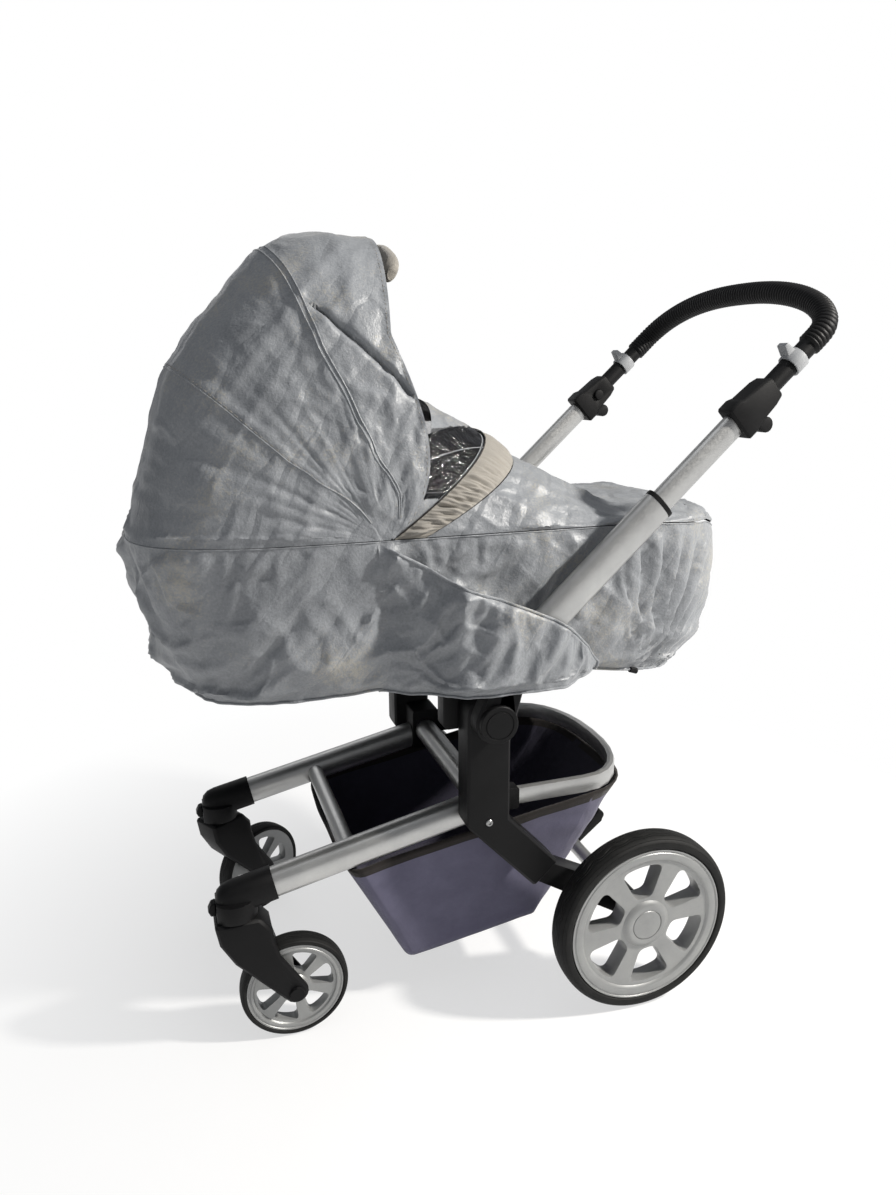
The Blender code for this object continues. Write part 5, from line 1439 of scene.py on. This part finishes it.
@dataclass
class Carrycot:
    """Carrycot inside the cover: lining of the hood."""

    finishes: Finishes
    cover: RainCover
    back: float = 0.0150

    def build_lining(self) -> bpy.types.Object:
        """Builds the hood's own dark cloth, held a little inside the rain cover by the bows."""
        rain = self.cover
        middle = world(-0.40, 0.0, 0.776)

        def surface(u: float, v: float) -> Vector:
            """Gives the lining: the cover's plain surface drawn in, and set back at the open edge."""
            place = rain.hood_base(u * 0.88, v)
            inward = (middle - place)
            inward.y *= 0.6
            inward.normalize()
            drawn = place + inward * self.back
            drawn.z = max(drawn.z, 0.7755)
            limit = rain.side - 0.0065
            drawn.y = max(-limit, min(limit, drawn.y))
            return drawn + inward * (0.002 * noise.noise(place * 14.0))

        lining = sheet("carrycot_hood", surface, 60, 90)
        outward(lining)
        flat, area = cut_size(lining, surface)
        thicken(lining, 0.0010)
        shade(lining, 60.0)
        lining.data.materials.append(self.finishes.cot)
        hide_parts("hood_cloth")
        rain.bend_with_hood(lining)
        return lining

    def build(self) -> None:
        """Builds the carrycot's hood lining."""
        log.info("carrycot: %s", self.build_lining().name)


# ---------------------------------------------------------------- wheels


@dataclass(frozen=True)
class WheelSize:
    """Driving sizes of one kind of wheel, in metres, and the turn of its first window in degrees."""

    tyre: float
    rim: float
    half: float
    bore: float
    hub: float
    dish: float
    cap: float
    phase: float
    corner: float


REAR_SIZE = WheelSize(0.150, 0.130, 0.0225, 0.0062, 0.0340, 0.0120, 0.0250, 36.6, 0.0120)
FRONT_SIZE = WheelSize(0.083, 0.0737, 0.0155, 0.0052, 0.0165, 0.0080, 0.0, 12.0, 0.0066)


@dataclass
class Wheels:
    """The four wheels: six-window rims with moulded edges, tyres and hub caps."""

    finishes: Finishes
    joints: dict[str, dict[str, Any]]

    def window(self, size: WheelSize) -> list[Point2]:
        """Draws one window's outline, with round corners and an outer side that follows the rim."""
        inner, outer = size.hub + size.rim * 0.105, size.rim * 0.868 * 0.92
        near, far = math.radians(16.5), math.radians(20.5)
        low_in = Vector((inner * math.cos(near), -inner * math.sin(near)))
        low_out = Vector((outer * math.cos(far), -outer * math.sin(far)))
        side = (low_out - low_in).normalized()
        up = Vector((0.0, 1.0))
        part = size.corner / outer
        turned = Vector((outer * math.cos(far - part), -outer * math.sin(far - part)))
        half = self.bend(low_in + up * size.corner * 0.8, low_in, low_in + side * size.corner * 0.8)
        half += self.bend(low_out - side * size.corner, low_out, turned)
        arc = [-far + part + (far - part) * i / 6 for i in range(1, 6)]
        half += [Vector((outer * math.cos(a), outer * math.sin(a))) for a in arc]
        mirror = [Vector((p.x, -p.y)) for p in reversed(half)]
        return [(p.x, p.y) for p in half + [Vector((outer, 0.0))] + mirror]

    def bend(self, start: Vector, corner: Vector, end: Vector) -> list[Vector]:
        """Rounds one corner with seven points."""
        return [start * (1 - t) ** 2 + corner * 2 * t * (1 - t) + end * t * t for t in [i / 6.0 for i in range(7)]]

    def cutter(self, size: WheelSize) -> bpy.types.Object:
        """Makes the six window cutters as one object."""
        outline = self.window(size)
        items = []
        for i in range(6):
            turn = math.radians(size.phase + 60.0 * i)
            deselect()
            bpy.ops.mesh.primitive_circle_add(vertices=len(outline), radius=0.01, fill_type="NGON")
            item = bpy.context.object
            for vertex, (x, z) in zip(item.data.vertices, outline):
                vertex.co = (x * math.cos(turn) - z * math.sin(turn), -0.04, x * math.sin(turn) + z * math.cos(turn))
            take(item)
            bpy.ops.object.mode_set(mode="EDIT")
            bpy.ops.mesh.select_all(action="SELECT")
            bpy.ops.mesh.extrude_region_move(TRANSFORM_OT_translate={"value": (0.0, 0.08, 0.0)})
            bpy.ops.object.mode_set(mode="OBJECT")
            items.append(item)
        cutter = joined(items, "window_cutter")
        outward(cutter)
        return cutter

    def rim(self, name: str, size: WheelSize, side: float) -> bpy.types.Object:
        """Turns a rim and cuts its windows."""
        face = size.half - 0.0015
        flange = size.rim * 0.868
        hollow = size.cap + 0.0003 if size.cap else size.bore
        profile = [
            (size.bore, -face), (size.hub * 0.8, -face), (size.hub, -size.dish), (flange, -size.dish), (size.rim, -face),
            (size.rim, face), (size.rim - 0.0022, face), (size.rim - 0.0030, face - 0.0012), (size.rim - 0.0050, face - 0.0012),
            (size.rim - 0.0058, face), (flange + 0.0015, face), (flange, face - 0.0006), (flange - size.rim * 0.02, face - 0.0035),
            (size.hub + size.rim * 0.05, face - 0.0052), (size.hub + size.rim * 0.030, face - 0.0030), (size.hub, face - 0.0002),
            (size.hub - 0.003, face), (hollow, face),
        ]
        if size.cap:
            profile += [(hollow, face - 0.0055), (size.bore, face - 0.0055)]
        item = spun(name, [(radius, side * height) for radius, height in profile], Vector(), Vector((0.0, 1.0, 0.0)), 120)
        cutter = self.cutter(size)
        cut = item.modifiers.new("windows", "BOOLEAN")
        cut.operation = "DIFFERENCE"
        cut.solver = "EXACT"
        cut.object = cutter
        apply_all(item)
        bpy.data.objects.remove(cutter)
        rounded(item, 0.0016 if size.cap else 0.0010, 2, 48.0)
        shade(item, 40.0)
        return item

    def tyre(self, name: str, size: WheelSize) -> bpy.types.Object:
        """Builds a tyre as a grid round the wheel, so that its map follows the tread."""
        seat = size.rim + 0.0003
        wall = size.tyre - seat
        middle = seat + wall * 0.36

        def surface(u: float, v: float) -> Vector:
            """Gives the tyre: u round the wheel, v round its section from one side over the tread."""
            turn, ring = 2.0 * math.pi * u, 2.0 * math.pi * v
            c, s = math.cos(ring), math.sin(ring)
            y = size.half * math.copysign(abs(c) ** 0.72, c)
            radius = middle + ((size.tyre - middle) * s ** 0.80 if s > 0.0 else -(middle - seat) * abs(s) ** 0.30)
            return Vector((radius * math.cos(turn), y, radius * math.sin(turn)))

        item = sheet(name, surface, 180, 56)
        outward(item)
        shade(item, 60.0)
        return item

    def hub_cap(self, name: str, size: WheelSize, side: float) -> bpy.types.Object:
        """Turns a plain hub cap, slightly domed."""
        face = size.half - 0.0015
        base = face - 0.0052
        profile = [
            (0.0003, base), (size.cap, base), (size.cap, face - 0.0012), (size.cap - 0.0012, face + 0.0002),
            (size.cap * 0.6, face + 0.0010), (0.0003, face + 0.0013),
        ]
        item = spun(name, [(radius, side * height) for radius, height in profile], Vector(), Vector((0.0, 1.0, 0.0)), 72)
        shade(item, 40.0)
        return item

    def put(self, item: bpy.types.Object, joint: dict[str, Any], node: str, body: str, finish: bpy.types.Material) -> None:
        """Stands a wheel's piece on its axle and puts it in its node's place."""
        axis = Vector(joint["axis"])
        if axis.y < 0.0:
            axis = -axis
        turn = math.atan2(-axis.x, axis.y)
        item.rotation_euler = (0.0, 0.0, turn)
        item.location = joint["pos_m"]
        settle(item)
        item.data.materials.clear()
        item.data.materials.append(finish)
        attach(item, body)
        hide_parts(node)

    def build(self) -> None:
        """Builds the four wheels."""
        f = self.finishes
        for end, size, rubber in (("rear", REAR_SIZE, f.rubber), ("front", FRONT_SIZE, f.small_rubber)):
            for name, side in SIDES:
                joint = self.joints[f"{end}_wheel_spin_{name}"]
                body = f"{end}_wheel_{name}"
                self.put(self.rim(f"{end}_rim_{name}_turned", size, side), joint, f"{end}_rim_{name}", body, f.rim)
                self.put(self.tyre(f"{end}_tyre_{name}_treaded", size), joint, f"{end}_tyre_{name}", body, rubber)
                if size.cap:
                    cap = self.hub_cap(f"rear_hub_cap_{name}_domed", size, side)
                    self.put(cap, joint, f"rear_hub_cap_{name}", body, f.rim)
        log.info("wheels: four")


# ---------------------------------------------------------------- fittings


@dataclass
class Fittings:
    """Small fittings on the frame: round hinge caps and the screws of the knees."""

    finishes: Finishes
    nodes: dict[str, bpy.types.Object]

    def face(self, node: str, x: float, z: float, side: float) -> Optional[Vector]:
        """Finds the outer face of a node at a place seen from the side."""
        mesh = self.nodes[node].data
        tree = BVHTree.FromPolygons([v.co.copy() for v in mesh.vertices], [list(f.vertices) for f in mesh.polygons])
        start = world(x, side * 0.6, z)
        return tree.ray_cast(start, Vector((0.0, -side, 0.0)))[0]

    def turned(self, name: str, profile: Sequence[Point2], place: Vector, side: float, finish: bpy.types.Material, body: str) -> None:
        """Turns a fitting on a face and lets it ride on a body."""
        item = spun(name, [(radius, side * height) for radius, height in profile], place, Vector((0.0, 1.0, 0.0)), 48)
        shade(item, 36.0)
        item.data.materials.append(finish)
        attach(item, body)

    def build(self) -> None:
        """Builds the hinge caps and knee screws on both sides."""
        cap = (
            (0.0003, -0.0030), (0.0285, -0.0030), (0.0285, 0.0016), (0.0275, 0.0026), (0.0220, 0.0028), (0.0214, 0.0018),
            (0.0200, 0.0018), (0.0194, 0.0028), (0.0003, 0.0030),
        )
        screw = (
            (0.0003, -0.0010), (0.0055, -0.0010), (0.0055, 0.0012), (0.0046, 0.0022), (0.0028, 0.0022), (0.0025, 0.0006),
            (0.0003, 0.0006),
        )
        for name, side in SIDES:
            hinge = self.face(f"hinge_knuckle_{name}", -0.245, 0.513, side)
            if hinge is not None:
                self.turned(f"hinge_cap_{name}", cap, hinge, side, self.finishes.black, "handle_lower")
            knee = self.face(f"knee_bracket_{name}", -0.245, 0.342, side)
            if knee is not None:
                self.turned(f"knee_screw_{name}", screw, knee, side, self.finishes.steel, "chassis")


# ---------------------------------------------------------------- handlebar


@dataclass
class Handlebar:
    """Bent handlebar with its closely ribbed foam grip."""

    finishes: Finishes
    hinge: Point2 = (-0.245, 0.513)
    slope: float = math.radians(43.0)
    rise: float = 0.0467
    side: float = 0.2432
    start: float = 0.6253
    grip: float = 0.706
    bend: float = 0.7274
    top: float = 0.8110
    lift: float = 0.0265
    radius: float = 0.0145
    grip_radius: float = 0.0180
    ribs: int = 92

    def point(self, along: float, across: float, y: float) -> Vector:
        """Places a point given along and across the handle's slope."""
        c, s = math.cos(self.slope), math.sin(self.slope)
        return world(self.hinge[0] + along * c - across * s, y, self.hinge[1] + along * s + across * c)

    def path(self, first: float) -> list[Vector]:
        """Draws the middle line from one side over the top to the other, beginning at first."""
        corners = [self.point(first, self.rise, -self.side)]
        for i in range(25):
            turn = math.pi * (i / 24.0 - 0.5)
            y = self.side * math.copysign(abs(math.sin(turn)) ** 0.87, turn)
            rise = max(math.cos(turn), 0.0) ** 0.87
            lift = self.rise + self.lift * rise ** 2
            corners.append(self.point(self.bend + (self.top - self.bend) * rise, lift, y))
        corners.append(self.point(first, self.rise, self.side))
        return corners

    def even(self, corners: Sequence[Vector], count: int) -> list[Vector]:
        """Spaces points evenly along a rounded line through the corners."""
        fine = [spline(corners, i / 2000.0) for i in range(2001)]
        runs = [0.0]
        for before, after in zip(fine, fine[1:]):
            runs.append(runs[-1] + (after - before).length)
        result = []
        at = 0
        for i in range(count + 1):
            target = runs[-1] * i / count
            while at < 1999 and runs[at + 1] < target:
                at += 1
            share = (target - runs[at]) / max(runs[at + 1] - runs[at], 1e-9)
            result.append(fine[at].lerp(fine[at + 1], max(0.0, min(1.0, share))))
        return result

    def build(self) -> None:
        """Builds bar and grip."""
        bar = tube("handlebar_bent", self.even(self.path(self.start), 220), self.radius, 5)
        bar.data.materials.append(self.finishes.black)
        line = self.even(self.path(self.grip), self.ribs * 8)
        radii = []
        for i in range(len(line)):
            rib = abs(math.sin(math.pi * i / 8.0)) ** 0.6
            end = smooth(min(i, len(line) - 1 - i) / 5.0)
            radii.append((0.915 + 0.085 * rib) * (0.86 + 0.14 * end))
        grip = tube("handlebar_grip_ribbed", line, self.grip_radius, 5, radii)
        shade(grip, 60.0)
        grip.data.materials.append(self.finishes.grip)
        for item, node in ((bar, "handlebar"), (grip, "handlebar_grip")):
            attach(item, "handle_upper")
            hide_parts(node)
            node_slot(node)
        log.info("handlebar: bar and grip")


# ---------------------------------------------------------------- soft pieces


@dataclass
class SoftPieces:
    """Basket, carrycot shell and mattress, in the forms of their solids with the slack of sewn cloth."""

    finishes: Finishes
    nodes: dict[str, bpy.types.Object]

    def copy(self, node: str, name: str, levels: int) -> bpy.types.Object:
        """Copies a node's mesh and cuts its faces finer.

        Args:
            node: The node.
            name: Name of the copy.
            levels: How often each face is cut in four.

        Returns:
            The copy.
        """
        item = bpy.data.objects.new(name, self.nodes[node].data.copy())
        bpy.context.scene.collection.objects.link(item)
        item.data.materials.clear()
        outward(item)
        take(item)
        bpy.ops.object.mode_set(mode="EDIT")
        bpy.ops.mesh.select_all(action="SELECT")
        bpy.ops.mesh.tris_convert_to_quads(face_threshold=0.6, shape_threshold=0.6)
        bpy.ops.object.mode_set(mode="OBJECT")
        if levels:
            finer = item.modifiers.new("finer", "SUBSURF")
            finer.subdivision_type = "SIMPLE"
            finer.levels = levels
            apply_all(item)
        return item

    def build_basket(self) -> bpy.types.Object:
        """Builds the basket: canvas with slanting slack folds, a sewn tape under its rim, and its inside and floor in
        painted shade.
        """
        basket = self.copy("basket", "basket_sewn", 3)
        middle = world(-0.22, 0.0, 0.22)
        for vertex in basket.data.vertices:
            place = vertex.co
            out = Vector(((place.x - middle.x) * 0.4, place.y, 0.0)).normalized()
            down = smooth((0.345 - place.z) / 0.06) * smooth((place.z - 0.085) / 0.04)
            slant = Vector((place.x * 15.0 + place.z * 8.0, place.y * 5.0, place.z * 3.0))
            fold = 0.0040 * noise.noise(slant) + 0.0022 * noise.noise(slant * 2.3)
            vertex.co = place + out * ((fold - 0.0012) * down)
        basket.data.update()
        for material in (self.finishes.basket, self.finishes.tape, self.finishes.inside):
            basket.data.materials.append(material)
        tops = [f.center.copy() for f in basket.data.polygons if f.normal.z > 0.7 and f.center.z > 0.22]
        rim = KDTree(len(tops))
        for index, top in enumerate(tops):
            rim.insert(top, index)
        rim.balance()
        # Faces under the rim take the tape. Inward faces and the floor's upward faces take the darker canvas as painted
        # shade.
        for face in basket.data.polygons:
            inward = face.normal.dot(Vector((face.center.x - middle.x, face.center.y * 2.0, 0.0))) < -0.001
            if rim.find(face.center)[2] < 0.016:
                face.material_index = 1
            elif inward or (face.normal.z > 0.5 and face.center.z < 0.15):
                face.material_index = 2
        shade(basket, 50.0)
        return self.place(basket, "basket")

    def build_shell(self) -> bpy.types.Object:
        """Builds the carrycot's shell under its dark cloth."""
        shell = self.copy("carrycot_tub", "carrycot_shell", 2)
        for vertex in shell.data.vertices:
            place = vertex.co
            out = Vector((place.x * 0.5, place.y, 0.0)).normalized()
            vertex.co = place + out * (0.0010 * noise.noise(place * 22.0) - 0.0006)
        shell.data.materials.append(self.finishes.cot)
        shade(shell, 50.0)
        return self.place(shell, "carrycot_tub")

    def build_mattress(self) -> bpy.types.Object:
        """Builds the mattress, whose cover is blown out a little by its filling."""
        pad = self.copy("mattress", "mattress_padded", 0)
        grid = pad.modifiers.new("even", "REMESH")
        grid.mode = "VOXEL"
        grid.voxel_size = 0.007
        apply_all(pad)
        home = [v.co.copy() for v in pad.data.vertices]
        cloth = pad.modifiers.new("filling", "CLOTH")
        cloth.settings.quality = 4
        cloth.settings.use_pressure = True
        cloth.settings.uniform_pressure_force = 4.0
        cloth.settings.effector_weights.gravity = 0.0
        cloth.settings.tension_stiffness = 25.0
        cloth.settings.bending_stiffness = 0.4
        cloth.collision_settings.use_collision = False
        cloth.point_cache.frame_start = 1
        cloth.point_cache.frame_end = 14
        for frame in range(1, 15):
            bpy.context.scene.frame_set(frame)
        apply_all(pad)
        bpy.context.scene.frame_set(1)
        furthest = 0.0
        for vertex, start in zip(pad.data.vertices, home):
            move = vertex.co - start
            move.z = max(-0.0003, min(0.012, move.z))
            flat = Vector((move.x, move.y, 0.0))
            if flat.length > 0.006:
                flat *= 0.006 / flat.length
            vertex.co = start + Vector((flat.x, flat.y, move.z))
            furthest = max(furthest, (vertex.co - start).length)
        log.info("mattress: moved %.1f mm at most", furthest / MM)
        pad.data.materials.append(self.finishes.mattress)
        shade(pad, 60.0)
        self.place(pad, "mattress")
        return pad

    def place(self, item: bpy.types.Object, node: str) -> bpy.types.Object:
        """Puts a piece in its node's place on the chassis."""
        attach(item, "chassis")
        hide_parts(node)
        node_slot(node)
        return item

    def build(self) -> None:
        """Builds the three pieces."""
        for item in (self.build_basket(), self.build_shell(), self.build_mattress()):
            log.info("soft: %s", item.name)


# ---------------------------------------------------------------- frame pieces


@dataclass
class RigidPieces:
    """Rigid nodes of the frame: each gets its finish, and the moulded ones rounded edges."""

    finishes: Finishes
    nodes: dict[str, bpy.types.Object]
    bodies: dict[str, str]

    def finish_of(self, name: str) -> bpy.types.Material:
        """Chooses the finish of a node by its name."""
        f = self.finishes
        table = (
            ("leg_tube", f.tube), ("main_cross_tube", f.tube), ("front_cross_tube", f.tube), ("basket_bar", f.tube),
            ("rear_axle", f.tube), ("handle_outer", f.tube), ("handle_inner", f.tube), ("rear_rim", f.rim),
            ("front_rim", f.rim), ("rear_hub", f.rim), ("tyre", f.rubber), ("front_axle", f.black), ("basket", f.basket),
            ("carrycot_tub", f.cot), ("hood_cloth", f.cot), ("mattress", f.mattress), ("hood_bow", f.bow),
            ("fold_slider", f.slider), ("handlebar_grip", f.grip), ("window", f.film), ("band", f.band), ("visor", f.band),
            ("cover", f.cover),
        )
        for key, material in table:
            if key in name:
                return material
        return f.black

    def dress(self) -> None:
        """Gives each node of the frame its finish."""
        for name, node in self.nodes.items():
            node.data.materials.clear()
            node.data.materials.append(self.finish_of(name))

    def refine(self, name: str, width: float, angle: float = 34.0) -> bpy.types.Object:
        """Makes a copy of a node with rounded edges and puts it in the node's place.

        Args:
            name: The node.
            width: Width of the rounding in metres.
            angle: Edges sharper than this stay sharp in the shading, in degrees.

        Returns:
            The rounded copy.
        """
        node = self.nodes[name]
        item = bpy.data.objects.new(f"{name}_finished", node.data.copy())
        bpy.context.scene.collection.objects.link(item)
        outward(item)
        take(item)
        bpy.ops.object.mode_set(mode="EDIT")
        bpy.ops.mesh.select_all(action="SELECT")
        bpy.ops.mesh.dissolve_limited(angle_limit=math.radians(1.0))
        bpy.ops.object.mode_set(mode="OBJECT")
        if width:
            rounded(item, width, 2, 30.0)
        shade(item, angle)
        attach(item, self.bodies[name])
        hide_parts(name)
        node_slot(name)
        return item

    def build(self) -> None:
        """Dresses all nodes and rounds the moulded ones."""
        self.dress()
        for name in sorted(self.nodes):
            if name.startswith(("knee_bracket", "caster_housing", "fork", "joint_block", "hinge_knuckle")):
                self.refine(name, 0.0012)
            elif name.startswith(("carrycot_adapter", "swivel_lock", "fold_slider", "height_button", "brake_pedal")):
                self.refine(name, 0.0006)
            elif name.startswith(("leg_tube", "main_cross", "front_cross", "basket_bar", "rear_axle", "handle_outer", "handle_inner", "handle_bush")):
                self.refine(name, 0.0)
        log.info("rigid pieces: %d nodes", len(self.nodes))


def node_slot(name: str) -> str:
    """Returns the record's material slot of a node."""
    for entry in SLOTS:
        if name in SLOTS[entry]:
            return entry
    return "black_nylon"


SLOTS: dict[str, set[str]] = {}


def read_slots(record: dict[str, Any]) -> None:
    """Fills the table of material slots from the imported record."""
    for part in record.get("subparts", []):
        SLOTS.setdefault(part["material_slot"], set()).add(part["node"])


def main() -> None:
    """Builds the stage, the finishes and every piece in order."""
    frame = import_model()
    read_slots(frame["record"])
    Studio().build()
    finishes = Finishes()
    bodies = {node: body for body, members in frame["record"]["behaviour"]["bodies"].items() for node in members}
    joints = {joint["name"]: joint for joint in frame["record"]["behaviour"]["joints"]}
    RigidPieces(finishes, frame["nodes"], bodies).build()
    Wheels(finishes, joints).build()
    Fittings(finishes, frame["nodes"]).build()
    Handlebar(finishes).build()
    SoftPieces(finishes, frame["nodes"]).build()
    cover = RainCover(finishes)
    cover.build()
    Carrycot(finishes, cover).build()


if __name__ == "__main__":
    main()
